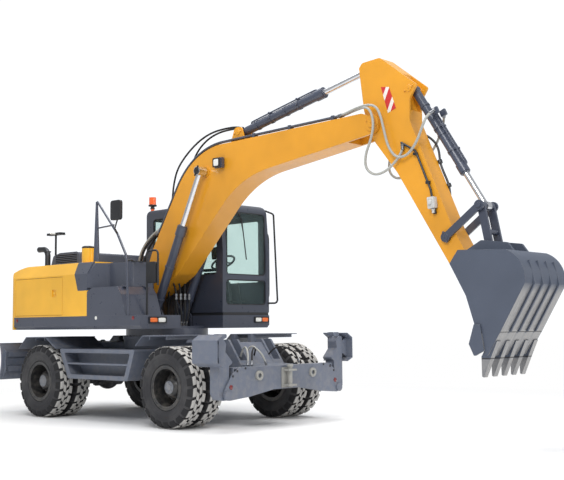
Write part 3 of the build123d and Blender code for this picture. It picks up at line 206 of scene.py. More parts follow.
def digging_steel(name, colour):
    """Dark paint on a bucket, rubbed to steel by earth on its outer plates and the points of its teeth."""
    rib_places, tooth_joint, lip_joint = (-0.390, -0.210, -0.030, 0.150), 0.940, 1.213
    finish = Finish(name)
    broad = finish.noise(2.2, 4.0)
    streak = finish.noise(6.0, 5.0, 0.7, (1.0, 7.0, 1.0))
    scratch = finish.noise(30.0, 4.0, 0.7, (1.0, 0.2, 1.0))
    across, up = finish.place("Y"), finish.place("Z")
    outward = finish.facing("X") * 0.858 - finish.facing("Z") * 0.5135
    between_ribs = 1.0
    for rib in rib_places:
        between_ribs = (across - rib).size().rise(0.013, 0.022) * between_ribs
    plate = outward.rise(0.85, 0.95) * between_ribs * (1 - up.rise(1.60, 1.74)) * (streak * 0.35 + 0.72)
    lip = (1 - up.rise(1.195, 1.205)) * outward.rise(0.3, 0.8) * 0.75
    point = (1 - up.rise(0.925, 0.935)) * (streak * 0.5 + 0.45)
    clear_of_lip = (up - lip_joint).size().rise(0.003, 0.006).most(1 - outward)
    clear_of_joints = (up - tooth_joint).size().rise(0.004, 0.008).least(clear_of_lip)
    rounded = finish.edge(0.005)
    rubbed = finish.worn(rounded).rise(0.02, 0.18) * finish.noise(12.0).rise(0.4, 0.6) * 0.5
    scored = scratch.rise(0.66, 0.74) * 0.25
    bare = plate.most(lip).most(point).most(rubbed).most(scored).least(1.0)
    base = finish.mix(bare, finish.mix(broad, shade(colour, 0.72), colour),
                      finish.mix(streak, rgb(120, 119, 118), rgb(172, 170, 168)))
    return finish.set(Base_Color=finish.mix(clear_of_joints, rgb(40, 40, 42), base), Metallic=bare * 0.35,
                      Roughness=0.5 - bare * 0.1 + (broad - 0.5) * 0.2,
                      Normal=finish.bump(scratch, 0.0008, 0.3, rounded))


def rubber(name, colour, scale=60.0, dust=0.3):
    """Tyre and hose rubber, dusty, with a fine uneven surface."""
    finish = Finish(name)
    fine = finish.noise(scale, 4.0, 0.65)
    base = finish.mix(fine, shade(colour, 0.8), colour)
    base = finish.mix(finish.noise(3.0).rise(0.35, 0.7) * dust, base, rgb(106, 105, 104))
    return finish.set(Base_Color=base, Roughness=0.78 + (fine - 0.5) * 0.2, Specular_IOR_Level=0.35,
                      Normal=finish.bump(fine, 0.0012, 0.35))


def tread(name):
    """Tyre tread: pale tops, partly road dust and partly a painted highlight of the light falling on them, and dark
    rubber sides in the gaps.
    """
    finish = Finish(name)
    from_axle = (finish.place("X") - SLEW_AXIS_X).size() - HALF_WHEELBASE
    up = finish.place("Z") - AXLE_Z
    radius = (from_axle * from_axle + up * up).power(0.5)
    fine = finish.noise(70.0, 4.0, 0.65)
    # The near-white tops are partly dust and partly painted highlight where light falls on the tread.
    top = radius.rise(0.510, 0.5235) * (fine * 0.5 + finish.noise(5.0) * 0.4 + 0.42)
    return finish.set(Base_Color=finish.mix(top.least(1.0), rgb(40, 40, 42), rgb(196, 194, 190)),
                      Roughness=0.82 + (fine - 0.5) * 0.15, Specular_IOR_Level=0.3,
                      Normal=finish.bump(fine, 0.0012, 0.35))


def chrome(name):
    """Hard chrome on a cylinder rod, with faint turning marks and a film of oil."""
    finish = Finish(name)
    film = finish.noise(7.0, 4.0, 0.6)
    return finish.set(Base_Color=finish.mix(film, rgb(196, 198, 202), rgb(232, 233, 235)), Metallic=1.0,
                      Roughness=0.16 + film * 0.14, Normal=finish.bump(finish.noise(220.0, 2.0), 0.0001, 0.05))


def steel(name, colour, roughness):
    """Plain machined or plated steel."""
    finish = Finish(name)
    film = finish.noise(40.0, 4.0, 0.6)
    return finish.set(Base_Color=finish.mix(film, shade(colour, 0.6), colour), Metallic=0.9,
                      Roughness=roughness + (film - 0.5) * 0.25,
                      Normal=finish.bump(film, 0.0006, 0.3, finish.edge(0.002)))


def plastic(name, colour, roughness, grain=400.0, depth=0.0004):
    """Moulded plastic or cast metal with a fine grain."""
    finish = Finish(name)
    broad = finish.noise(4.0)
    return finish.set(Base_Color=finish.mix(broad, shade(colour, 0.85), colour),
                      Roughness=roughness + (broad - 0.5) * 0.15,
                      Normal=finish.bump(finish.noise(grain, 2.0), depth, 0.5, finish.edge(0.003)))


def lens(name, colour, strength=0.0):
    """A moulded lamp lens with fine upright ribs."""
    finish = Finish(name)
    ribs = (finish.place("Y") * 900.0).wave()
    return finish.set(Base_Color=finish.mix(finish.noise(30.0, 2.0), shade(colour, 0.75), colour), Roughness=0.12,
                      Coat_Weight=0.6, Normal=finish.bump(ribs, 0.0008, 0.4), Emission_Color=colour,
                      Emission_Strength=strength)


def window_glass(name):
    """Thin tinted glass: mostly clear, with its reflection and a trace of dust."""
    finish = Finish(name)
    clear = finish.node("ShaderNodeBsdfTransparent", inputs={"Color": rgb(240, 247, 245)})
    finish.set(Base_Color=rgb(176, 198, 200), Roughness=0.05, Metallic=0.0)
    slant = finish.node("ShaderNodeLayerWeight", inputs={"Blend": 0.5}, output="Facing")
    share = slant.power(5.0) * 0.8 + finish.noise(2.0, 4.0, 0.6).rise(0.3, 0.8) * 0.03 + 0.04
    return finish.show(share.least(1.0), clear, finish.own)


def cloth(name, colour):
    """Woven seat cloth with a fine sheen."""
    finish = Finish(name)
    weave = (finish.place("X") * 1500.0).wave() * (finish.place("Y") * 1500.0).wave()
    return finish.set(Base_Color=finish.mix(finish.noise(300.0, 2.0), shade(colour, 0.7), shade(colour, 1.4)),
                      Roughness=0.9, Sheen_Weight=0.3, Normal=finish.bump(weave, 0.0008, 0.4))


def hazard(name):
    """Red and white slanting stripes on a plate, in the X and Z plane."""
    pitch, offset, white_share = 0.135, 0.867, 0.36
    finish = Finish(name)
    run = finish.place("X") * 0.905 + finish.place("Z") * -0.426
    red = (run / pitch + offset).fraction() > white_share
    colour = finish.mix(red, rgb(226, 222, 214), rgb(196, 40, 38))
    return finish.set(Base_Color=finish.mix(finish.noise(20.0, 4.0).rise(0.5, 0.8) * 0.25, colour, DUST),
                      Roughness=0.35, Coat_Weight=0.3)


TYRE_RADIUS = AXLE_Z = 0.525
HALF_WHEELBASE = 1.4

hood_yellow = paint("hood_yellow", rgb(247, 186, 48), 0.34, 0.35, 0.05)
boom_yellow = paint("boom_yellow", rgb(222, 153, 34), 0.36, 0.3, 0.04)
upper_slate = paint("upper_slate", rgb(66, 71, 85), 0.3, 0.5, 0.05)
carrier_slate = paint("carrier_slate", rgb(98, 105, 120), 0.45, 0.15, 0.16)
cab_slate = paint("cab_slate", rgb(58, 63, 76), 0.3, 0.5, 0.04)
cylinder_slate = paint("cylinder_slate", rgb(64, 70, 86), 0.34, 0.35, 0.06)
rim_black = paint("rim_black", rgb(33, 34, 37), 0.42, 0.2, 0.12)
cast_dark = paint("cast_dark", rgb(58, 61, 68), 0.6, 0.0, 0.25)
hub_grey = paint("hub_grey", rgb(118, 122, 130), 0.42, 0.15, 0.2)
hitch_grey = paint("hitch_grey", rgb(150, 150, 146), 0.4, 0.1, 0.2, wear=0.5)
bucket_slate = digging_steel("bucket_slate", rgb(80, 88, 104))
tread_rubber = tread("tread_rubber")
tyre_rubber = rubber("tyre_rubber", rgb(54, 54, 57))
hose_rubber = rubber("hose_rubber", rgb(38, 38, 40), 200.0, 0.1)
rod_chrome = chrome("rod_chrome")
bright_steel = steel("bright_steel", rgb(150, 152, 156), 0.4)
dark_steel = steel("dark_steel", rgb(84, 85, 88), 0.45)
grey_sleeve = plastic("grey_sleeve", rgb(172, 172, 166), 0.55)
cast_alloy = plastic("cast_alloy", rgb(206, 206, 204), 0.42, 160.0, 0.0006)
black_plastic = plastic("black_plastic", rgb(36, 37, 40), 0.45)
trim_plastic = plastic("trim_plastic", rgb(58, 60, 66), 0.55)
amber_lens = lens("amber_lens", rgb(244, 104, 40), 0.15)
clear_lens = lens("clear_lens", rgb(236, 236, 230), 0.1)
red_lens = lens("red_lens", rgb(120, 24, 30))
signal_lens = lens("signal_lens", rgb(240, 112, 34), 0.1)
hazard_stripes = hazard("hazard_stripes")
pane_glass = window_glass("pane_glass")
seat_cloth = cloth("seat_cloth", rgb(58, 59, 64))

# Each finish, the record's slot for it, and the CAD nodes that wear it
WORN = (
    (hood_yellow, "hood_paint", "house counterweight engine_door_right engine_door_left precleaner"),
    (boom_yellow, "boom_paint", "boom arm"),
    (upper_slate, "slate_paint", "platform engine_cowl fuel_tank tool_box tool_box_lid handrail boom_fittings"),
    (carrier_slate, "carrier_paint", "chassis_frame side_boxes fenders stabiliser_beam stabiliser_leg_right"
     " stabiliser_leg_left blade blade_arm blade_link"),
    (hitch_grey, None, "tow_hitch"),
    (cab_slate, "cab_paint", "cab_shell cab_door"),
    (cylinder_slate, "cylinder_paint", "boom_cylinder_barrels arm_cylinder_barrel bucket_cylinder_barrel"
     " blade_cylinder_barrel bucket_link guide_links"),
    (rod_chrome, "rod_chrome", "boom_cylinder_rods arm_cylinder_rod bucket_cylinder_rod blade_cylinder_rod"),
    (rim_black, "rim_paint", "rims_front_right rims_front_left rims_rear_right rims_rear_left"),
    (cast_dark, "cast_grey", "front_axle rear_axle knuckle_right knuckle_left engine_block"),
    (bucket_slate, "bucket_paint", "bucket"),
    (tyre_rubber, "tyre_rubber", "tyres_front_right tyres_front_left tyres_rear_right tyres_rear_left"),
    (pane_glass, "cab_pane", "cab_glass cab_door_glass"),
    (trim_plastic, "control_plastic", "cab_controls"),
    (black_plastic, "mirror_shell", "mirrors work_lamp front_lamps"),
    (amber_lens, "beacon_lens", "beacon"),
    (dark_steel, "stack_steel", "exhaust arm_fittings"),
    (seat_cloth, "seat_cloth", "seat"),
    (hub_grey, "cast_grey", ""),
    (tread_rubber, "tyre_rubber", ""),
    (signal_lens, "lamp_lens", ""),
    (clear_lens, "lamp_lens", ""),
)
for finish, slot, names in WORN:
    for name in names.split():
        nodes[name].data.materials.clear()
        nodes[name].data.materials.append(finish)

# Making meshes

SHARP_EDGE = 0.5  # The angle in radians from which an edge is rounded
SMOOTH_ANGLE = 38.0  # The angle in degrees up to which faces are shaded as one

# How two numbers in a plane and one along its axis make a place
PLACE_ALONG = {"x": lambda u, v, w: (w, u, v), "y": lambda u, v, w: (u, w, v), "z": lambda u, v, w: (u, v, w)}


def circle(count, start=0.0):
    """So many directions round a circle, as their cosine and sine."""
    angles = [math.tau * k / count + start for k in range(count)]
    return [(math.cos(a), math.sin(a)) for a in angles]


def linked(name, data):
    """A new object in the scene."""
    made = bpy.data.objects.new(name, data)
    scene.collection.objects.link(made)
    return made


class Form:
    """The mesh of one piece while it is made, in metres from the slew axis. Its methods add to it."""

    def __init__(self):
        self.mesh = bmesh.new()

    def skin(self, rings, bevel=0.0, closed=False):
        """Walls between rings of points, with a lid on each open end, then rounds the edges."""
        made = [[self.mesh.verts.new(place) for place in ring] for ring in rings]
        around = max(len(ring) for ring in made)
        full = [ring if len(ring) > 1 else ring * around for ring in made]
        faces = []
        for one, two in list(zip(full, full[1:])) + ([(full[-1], full[0])] if closed else []):
            for i in range(around):
                j = (i + 1) % around
                corners = list(dict.fromkeys((one[i], one[j], two[j], two[i])))
                if len(corners) > 2:
                    faces.append(self.mesh.faces.new(corners))
        for ring in () if closed else (made[0], made[-1]):
            if len(ring) > 2:
                faces.append(self.mesh.faces.new(ring))
        bmesh.ops.recalc_face_normals(self.mesh, faces=faces)
        if bevel:
            edges = dict.fromkeys(edge for face in faces for edge in face.edges)
            self.bevel([edge for edge in edges if edge.calc_face_angle(0.0) > SHARP_EDGE], bevel)
        return self

    def bevel(self, edges, offset, segments=2, profile=0.6):
        bmesh.ops.bevel(self.mesh, geom=edges, offset=offset, segments=segments, profile=profile,
                        affect="EDGES", clamp_overlap=True)

    def prism(self, corners, axis, near, far, bevel=0.0):
        """A plate with these corners, from near to far along an axis. Corners go through the other two."""
        place = PLACE_ALONG[axis]
        return self.skin([[place(u, v, w) for u, v in corners] for w in (near, far)], bevel)

    def box(self, x, y, z, bevel=0.003):
        return self.prism([(x[0], y[0]), (x[1], y[0]), (x[1], y[1]), (x[0], y[1])], "z", *z, bevel)

    def turned(self, profile, centre, axis, sides=32, closed=False):
        """A profile of (distance along the axis, radius) turned about an axis through the centre."""
        axis = Vector(axis).normalized()
        across = axis.orthogonal().normalized()
        other = axis.cross(across)
        rings = []
        for along, radius in profile:
            middle = Vector(centre) + axis * along
            rings.append([middle + across * radius * c + other * radius * s for c, s in circle(sides)]
                         if radius else [middle])
        return self.skin(rings, closed=closed)

    def rod(self, start, end, radius, sides=16, chamfer=0.0):
        """A round bar between two places."""
        start, end = Vector(start), Vector(end)
        length, c = (end - start).length, chamfer
        rims = [(c, radius), (length - c, radius)]
        return self.turned([(0, radius - c), *rims, (length, radius - c)] if c else rims, start, end - start, sides)

    def bolt(self, place, axis, size, washer=True):
        """A six-sided bolt head on its washer, standing up along an axis."""
        if washer:
            self.turned([(0, size * 1.45), (size * 0.2, size * 1.45)], place, axis, 14)
        return self.turned([(0, size), (size * 0.75, size), (size * 0.9, size * 0.82)], place, axis, 6)

    def button(self, place, axis, radius, thickness):
        """A round flat lens with a sloping rim."""
        top = thickness + 0.003
        return self.turned([(0, radius), (thickness, radius), (top, radius - 0.006), (top, 0)], place, axis, 24)

    def tube(self, path, radius, sides=12):
        """A tube along the points of a path, as wide at every point, or with a radius for each."""
        path = [Vector(p) for p in path]
        radii = radius if isinstance(radius, list) else [radius] * len(path)
        across = (path[1] - path[0]).normalized().orthogonal().normalized()
        rings = []
        for i, place in enumerate(path):
            ahead = path[min(i + 1, len(path) - 1)] - path[max(i - 1, 0)]
            ahead.normalize()
            across = (across - ahead * across.dot(ahead)).normalized()
            other = ahead.cross(across)
            rings.append([place + across * radii[i] * c + other * radii[i] * s for c, s in circle(sides)])
        return self.skin(rings)

    def frame(self, axis, plane, thickness, low, high, width, corner):
        """A flat ring with round corners, from low (u, v) to high (u, v), as wide as width inwards."""
        def rounded(inset):
            c = max(corner - inset, 0.005)
            left, right = low[0] + (inset + c), high[0] - (inset + c)
            bottom, top = low[1] + (inset + c), high[1] - (inset + c)
            places = []
            for mu, mv, start in ((right, top, 0), (left, top, 90), (left, bottom, 180), (right, bottom, 270)):
                for k in range(6):
                    a = math.radians(start + 90 * k / 5)
                    places.append((mu + c * math.cos(a), mv + c * math.sin(a)))
            return places
        place = PLACE_ALONG[axis]
        outer, inner = rounded(0.0), rounded(width)
        near, far = plane, plane + thickness
        return self.skin([[place(u, v, w) for u, v in ring] for ring, w in (
            (outer, near), (outer, far), (inner, far), (inner, near))], closed=True)

    def plain(self, name, smooth=SMOOTH_ANGLE):
        """The mesh as an object that isn't a piece yet, smooth up to an angle in degrees."""
        data = bpy.data.meshes.new(name)
        self.mesh.to_mesh(data)
        self.mesh.free()
        data.shade_smooth()
        data.set_sharp_from_angle(angle=math.radians(smooth))
        return linked(name, data)

    def piece(self, name, body, finish, smooth=SMOOTH_ANGLE):
        """The finished piece, riding on a body."""
        made = self.plain(name, smooth)
        made.data.transform(Matrix.Translation((SLEW_AXIS_X, 0, 0)))
        made.data.materials.append(finish)
        return carried(made, body, finish)


def carried(made, body, finish):
    """Lets a piece ride on its body. The finish is not used."""
    if body:
        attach(made, body)
    return made


class Pattern:
    """A Geometry Nodes tree that repeats an item, with named inputs for its sizes."""

    def __init__(self, name, inputs):
        self.tree = bpy.data.node_groups.new(name, "GeometryNodeTree")
        add = self.tree.interface.new_socket
        add("Geometry", in_out="OUTPUT", socket_type="NodeSocketGeometry")
        for label, kind in (inputs | {"Item": "Object", "Place": "Vector", "Finish": "Material"}).items():
            add(label, in_out="INPUT", socket_type="NodeSocket" + kind)
        self.entry = self.tree.nodes.new("NodeGroupInput").outputs
        self.item = self.node("GeometryNodeObjectInfo", {"transform_space": "ORIGINAL"},
                              {"Object": self.entry["Item"]}, "Geometry")

    def node(self, kind, settings=None, links=None, output=0):
        """Adds a node: its settings first, then its values and links. Gives back one of its outputs."""
        made = self.tree.nodes.new(kind)
        for key, value in (settings or {}).items():
            setattr(made, key, value)
        for key, value in (links or {}).items():
            if isinstance(value, bpy.types.NodeSocket):
                self.tree.links.new(value, made.inputs[key])
            else:
                made.inputs[key].default_value = value
        return made.outputs[output]

    def close(self, geometry):
        """Realizes the instances and gives them their finish."""
        real = self.node("GeometryNodeRealizeInstances", links={0: geometry})
        painted = self.node("GeometryNodeSetMaterial", links={0: real, "Material": self.entry["Finish"]})
        self.tree.links.new(painted, self.tree.nodes.new("NodeGroupOutput").inputs[0])

    def piece(self, name, body, form, finish, **sizes):
        """Runs the tree on a form and keeps the result as a plain mesh that rides on a body."""
        item = form.plain("item", 30.0 if finish is tread_rubber else SMOOTH_ANGLE)
        host = linked(name, bpy.data.meshes.new(name))
        modifier = host.modifiers.new(name, "NODES")
        modifier.node_group = self.tree
        still = (0.0, 0.0, 0.0)
        values = {"Item": item, "Finish": finish, "Rows": 1, "Row Step": still, "Facing": still, "Radius": 0.0}
        values.update({key.replace("_", " "): value for key, value in sizes.items()})
        for socket in self.tree.interface.items_tree:
            if socket.in_out == "INPUT":
                modifier[socket.identifier] = values[socket.name]
        host.data = settled(host)
        host.modifiers.clear()
        bpy.data.objects.remove(item)
        return carried(host, body, finish)


def settled(host):
    """An object's mesh with its modifiers applied."""
    bpy.context.view_layer.update()
    return bpy.data.meshes.new_from_object(host.evaluated_get(bpy.context.evaluated_depsgraph_get()))


def round_pattern():
    """Items round a circle about Z, then turned and moved to their place."""
    made = Pattern("round_pattern", {"Count": "Int", "Radius": "Float", "Facing": "Vector"})
    entry = made.entry
    points = made.node("GeometryNodeMeshCircle", links={"Vertices": entry["Count"], "Radius": entry["Radius"]})
    index = made.node("GeometryNodeInputIndex")
    step = made.node("ShaderNodeMath", {"operation": "DIVIDE"}, {0: math.tau, 1: entry["Count"]})
    angle = made.node("ShaderNodeMath", {"operation": "MULTIPLY"}, {0: index, 1: step})
    spin = made.node("ShaderNodeCombineXYZ", links={"Z": angle})
    copies = made.node("GeometryNodeInstanceOnPoints", links={
        "Points": points, "Instance": made.item, "Rotation": spin})
    made.close(made.node("GeometryNodeTransform", links={
        0: copies, "Translation": entry["Place"], "Rotation": entry["Facing"]}))
    return made


def row_pattern():
    """Items in rows: so many along one step, and so many rows along another."""
    made = Pattern("row_pattern", {"Count": "Int", "Step": "Vector", "Rows": "Int", "Row Step": "Vector"})
    entry = made.entry
    row = made.node("GeometryNodeMeshLine", {"mode": "OFFSET"}, {
        "Count": entry["Count"], "Start Location": entry["Place"], "Offset": entry["Step"]})
    rows = made.node("GeometryNodeMeshLine", {"mode": "OFFSET"}, {
        "Count": entry["Rows"], "Offset": entry["Row Step"]})
    first = made.node("GeometryNodeInstanceOnPoints", links={"Points": row, "Instance": made.item})
    made.close(made.node("GeometryNodeInstanceOnPoints", links={"Points": rows, "Instance": first}))
    return made


round_of = round_pattern()
row_of = row_pattern()


def smooth_route(points):
    """The points of a smooth spline that a few places guide."""
    data = bpy.data.curves.new("route", "CURVE")
    data.dimensions = "3D"
    data.resolution_u = 8
    spline = data.splines.new("NURBS")
    spline.points.add(len(points) - 1)
    for point, place in zip(spline.points, points):
        point.co = (*place, 1.0)
    spline.order_u = 3
    spline.use_endpoint_u = True
    guide = linked("route", data)
    path = [vertex.co.copy() for vertex in bpy.data.meshes.new_from_object(guide).vertices]
    bpy.data.objects.remove(guide)
    return path


# Wheels

TREAD_DEPTH = 0.024
PITCHES = 22
TYRES = (0.8325, 1.1375)
HALF_TYRE = ((0.0, 0.500), (0.06, 0.500), (0.095, 0.497), (0.112, 0.482), (0.126, 0.455), (0.1335, 0.425),
             (0.1365, 0.405), (0.1345, 0.403), (0.1365, 0.400), (0.1370, 0.385), (0.1350, 0.383), (0.1368, 0.380),
             (0.1350, 0.355), (0.1290, 0.330), (0.1275, 0.329), (0.1270, 0.326), (0.1180, 0.306), (0.1140, 0.3015),
             (0.1120, 0.2985), (0.1060, 0.2975), (0.0970, 0.2960), (0.0945, 0.2560))


def tread_block(form, section, spread, middle, skew, side, offset):
    """One block of a tyre's tread, bent round the wheel; the section is (across, radius) corners."""
    rings = []
    for k in range(4):
        angle = middle + spread * (k / 3 * 2 - 1)
        corners = [(across, radius, angle + skew * (across - 0.06) / TYRE_RADIUS) for across, radius in section]
        rings.append([(radius * math.cos(a), radius * math.sin(a), side * across + offset)
                      for across, radius, a in corners])
    form.skin(rings, bevel=0.003)


def tread_pitch(outward):
    """The blocks of one pitch on both tyres of a wheel, about Z, with outward as the outer side's sign."""
    form = Form()
    pitch = math.tau / PITCHES
    base, top = TYRE_RADIUS - TREAD_DEPTH - 0.004, TYRE_RADIUS - 0.0005
    shoulder = [(0.050, base), (0.052, top), (0.099, top), (0.112, 0.509), (0.131, 0.456), (0.133, 0.432),
                (0.120, 0.440), (0.100, base - 0.015)]
    centre = [(0.004, base), (0.005, top), (0.044, top), (0.046, base)]
    for number, across in enumerate(TYRES):
        for side in SIDES:
            half = number * pitch * 0.5 + side * pitch / 4
            tread_block(form, shoulder, pitch * 0.36, half, 0.25, side, outward * across)
            tread_block(form, centre, pitch * 0.33, half + pitch * 0.22, -0.75, side, outward * across)
    return form


def wheel(name, x, outward):
    """Tyres, tread, nuts, hub and rim ring of one twin wheel, with outward as the outer side's sign."""
    body, centre, axis = f"wheels_{name}", (x, 0, AXLE_Z), (0, outward, 0)
    tyres = Form()
    for across in TYRES:
        section = [(outward * across - t, r) for t, r in HALF_TYRE[::-1]]
        section += [(outward * across + t, r) for t, r in HALF_TYRE[1:]]
        tyres.turned(section, centre, (0, 1, 0), 88, closed=True)
    carcass = tyres.piece(f"tyre_carcass_{name}", body, tyre_rubber, 50.0)
    round_of.piece(f"tyre_tread_{name}", body, tread_pitch(outward), tread_rubber, Count=PITCHES,
                   Facing=(math.radians(-90), 0.0, 0.0), Place=at(x, 0, AXLE_Z))
    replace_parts(carcass, f"tyres_{name}")
    nut = Form().turned([(-0.004, 0.021), (0.003, 0.021)], (0, 0, 0), UP, 18)
    nut.turned([(0.003, 0.017), (0.022, 0.017), (0.025, 0.014)], (0, 0, 0), UP, 6)
    nut.rod((0, 0, 0.02), (0, 0, 0.036), 0.009, 10)
    round_of.piece(f"wheel_nuts_{name}", body, nut, dark_steel, Count=10, Radius=0.196,
                   Facing=(math.radians(-90.0 * outward), 0.0, 0.0), Place=at(x, outward * 1.0025, AXLE_Z))
    drum = Form().turned([(1.100, 0.1512), (1.121, 0.1512), (1.151, 0.1262), (1.1865, 0.0965), (1.188, 0.090),
                          (1.188, 0.060)], centre, axis, 48)
    for c, s in circle(12):
        drum.bolt((x + 0.1385 * c, outward * 1.137, AXLE_Z + 0.1385 * s), axis, 0.009)
    drum.piece(f"hub_drum_{name}", body, rim_black)
    cap = Form().turned([(1.186, 0.083), (1.193, 0.083), (1.196, 0.078), (1.196, 0.050), (1.204, 0.045),
                         (1.205, 0)], centre, axis, 40)
    for c, s in circle(6, math.tau / 12):
        cap.bolt((x + 0.066 * c, outward * 1.196, AXLE_Z + 0.066 * s), axis, 0.0065)
    cap.piece(f"hub_cap_{name}", body, hub_grey)
    ring = Form().turned([(1.235, 0.262), (1.246, 0.262), (1.250, 0.268), (1.250, 0.285), (1.246, 0.291),
                          (1.235, 0.291)], centre, axis, 64, closed=True)
    for c, s in circle(12, 0.1):
        rib = [(x + c * r + s * w, AXLE_Z + s * r - c * w) for r, w in (
            (0.152, 0.006), (0.236, 0.006), (0.236, -0.006), (0.152, -0.006))]
        ring.prism(rib, "y", outward * 0.995, outward * 1.03, 0.002)
    ring.tube([(x + dx, outward * y, AXLE_Z + 0.02) for dx, y in ((0.225, 1.06), (0.222, 1.16), (0.215, 1.225))],
              0.006, 8)
    ring.piece(f"rim_ring_{name}", body, rim_black)


wheel("front_right", HALF_WHEELBASE, -1)
wheel("front_left", HALF_WHEELBASE, 1)
wheel("rear_right", -HALF_WHEELBASE, -1)
wheel("rear_left", -HALF_WHEELBASE, 1)

# Caps of the pins


def pin_cap(form, x, z, y, side, radius, turn):
    """The round end of a pin with its keeper bar, two bolts and grease nipple, standing out to one side."""
    axis = (0, side, 0)
    form.turned([(0, radius), (0.006, radius), (0.009, radius - 0.003), (0.009, 0)], (x, y, z), axis, 28)
    c, s = math.cos(turn), math.sin(turn)
    reach = radius + 0.03
    keeper = [(x + c * u - s * v, z + s * u + c * v) for u, v in (
        (-reach, -0.012), (reach, -0.012), (reach, 0.012), (-reach, 0.012))]
    form.prism(keeper, "y", *sorted((y, y + side * 0.008)), 0.002)
    for u in (-radius - 0.016, radius + 0.016):
        form.bolt((x + c * u, y + side * 0.008, z + s * u), axis, 0.008, False)
    form.turned([(0.009, 0.006), (0.013, 0.0055), (0.016, 0.0035), (0.021, 0.0035), (0.021, 0)], (x, y, z), axis, 10)


# Each pin is x, z, half the width over its bosses, radius, and the turn of its keeper
for name, body, finish, *pins in (
        ("boom_pin_caps", "boom_body", boom_yellow, (4.035, 3.710, 0.182, 0.060, -0.5),
         (1.700, 3.935, 0.097, 0.040, 0.2)),
        ("boom_rod_pin_caps", "boom_rods", dark_steel, (1.150, 3.440, 0.352, 0.048, 1.1)),
        ("platform_pin_caps", "upper", upper_slate, (0.170, 1.430, 0.383, 0.050, 0.3),
         (-0.100, 1.860, 0.207, 0.060, 0.9)),
        ("arm_pin_caps", "arm_body", boom_yellow, (4.548, 4.052, 0.130, 0.042, 0.4)),
        ("guide_pin_caps", "arm_body", cylinder_slate, (5.020, 2.272, 0.160, 0.040, 2.0)),
        ("bucket_pin_caps", "bucket_body", cylinder_slate, (5.200, 1.940, 0.181, 0.052, 2.2),
         (5.550, 2.140, 0.151, 0.042, 0.2))):
    caps = Form()
    for x, z, half, radius, turn in pins:
        for side in SIDES:
            pin_cap(caps, x, z, WORK_Y + side * half, side, radius, turn)
    caps.piece(name, body, finish)

# Hoses


def fitting(path, r):
    """A crimped steel end with a six-sided nut, at the start of a hose of radius r."""
    inward = (path[2] - path[0]).normalized()
    nut = [(0.0, r * 0.8), (0.0, r * 1.5), (r * 1.6, r * 1.5), (r * 1.6, r * 0.9)]
    crimp = [(r * 1.6, r * 1.05), (r * 1.8, r * 1.35), (r * 4.6, r * 1.32), (r * 4.9, r * 1.02)]
    return Form().turned(nut, path[0], inward, 6).turned(crimp, path[0], inward, 16)


def hose(name, body, points, radius, finish=hose_rubber, bend=None):
    """A hose on a smooth line through its guide points, with its end fittings.

    bend names the body that carries the far fitting, and two places that have no effect; with a
    bend, the hose itself rides on no body.
    """
    path = smooth_route(points)
    piece = Form().tube(path, radius, 14).piece(name, None if bend else body, finish, 60.0)
    far_body, start, end = bend or (body, None, None)
    fittings = [fitting(path, radius).piece(f"{name}_fitting_start", body, bright_steel),
                fitting(path[::-1], radius).piece(f"{name}_fitting_end", far_body, bright_steel)]
    if bend:
        at(*start)
        at(*end)
        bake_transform(piece)
    placed = [at(*place) for place in path]
    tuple(placed[0])
    sum((b - a).length for a, b in zip(path, path[1:]))


# Loops from the boom to the arm, on both sides
LOOPS = {
    "bucket_cylinder_hose": (
        (3.505, -0.272, 3.8745), (3.60, -0.276, 3.884), (3.80, -0.316, 3.915), (3.98, -0.340, 3.930),
        (4.13, -0.345, 3.900), (4.20, -0.342, 3.780), (4.24, -0.335, 3.600), (4.29, -0.325, 3.380),
        (4.40, -0.315, 3.235), (4.56, -0.310, 3.250), (4.69, -0.315, 3.390), (4.775, -0.320, 3.560),
        (4.83, -0.300, 3.690), (4.875, -0.215, 3.745)),
    "arm_line_hose": (
        (3.500, -0.238, 3.8745), (3.60, -0.240, 3.884), (3.80, -0.290, 3.905), (4.00, -0.352, 3.905),
        (4.085, -0.362, 3.820), (4.115, -0.362, 3.660), (4.070, -0.362, 3.490), (3.985, -0.362, 3.330),
        (3.975, -0.358, 3.160), (4.10, -0.350, 3.060), (4.26, -0.335, 3.090), (4.39, -0.310, 3.200),
        (4.47, -0.275, 3.330), (4.46, -0.272, 3.400)),
}
across_boom_tip = ("arm_body", (3.60, WORK_Y, 3.80), (4.45, WORK_Y, 3.45))
for side in ("right", "left"):
    for name, loop in LOOPS.items():
        points = loop if side == "right" else [(x, 2 * WORK_Y - y, z) for x, y, z in loop]
        hose(f"{name}_{side}", "boom_body", points, 0.0155, grey_sleeve, across_boom_tip)

ports = Form()
for side in SIDES:
    ports.prism([(4.86, 3.69), (4.93, 3.72), (4.90, 3.79), (4.83, 3.76)], "y", WORK_Y + side * 0.062,
                WORK_Y + side * 0.10, 0.004)
ports.piece("bucket_cylinder_ports", "bucket_barrel", cylinder_slate)

# From the platform up to the pipes on the boom
across_boom_foot = ("boom_body", (-0.10, WORK_Y, 2.00), (0.10, WORK_Y, 2.62))
for number, (y, lean, rise) in enumerate((
        (-0.238, -0.02, 0.0), (-0.272, -0.05, 0.02), (-0.002, 0.02, 0.0), (0.032, 0.05, 0.02))):
    points = [(-0.30, y, 1.62), (-0.31, y, 1.72), (-0.29, y + lean * 0.3, 1.95), (-0.235, y + lean, 2.20 + rise),
              (-0.15, y + lean, 2.42 + rise), (0.00, y + lean * 0.5, 2.58), (0.085, y, 2.642), (0.135, y, 2.68)]
    hose(f"boom_hose_{number + 1}", "upper", points, 0.016, bend=across_boom_foot)
for number, y in enumerate((-0.205, -0.165)):
    points = [(-0.33, y, 1.62), (-0.33, y, 1.75), (-0.36, y - 0.03, 2.05), (-0.33, y - 0.06, 2.32),
              (-0.21, y - 0.05, 2.52), (-0.05, y - 0.02, 2.66), (0.10, y, 2.74), (0.175, y, 2.775)]
    hose(f"boom_sleeve_{number + 1}", "upper", points, 0.017, grey_sleeve, across_boom_foot)

# Marks, lamps and reflectors

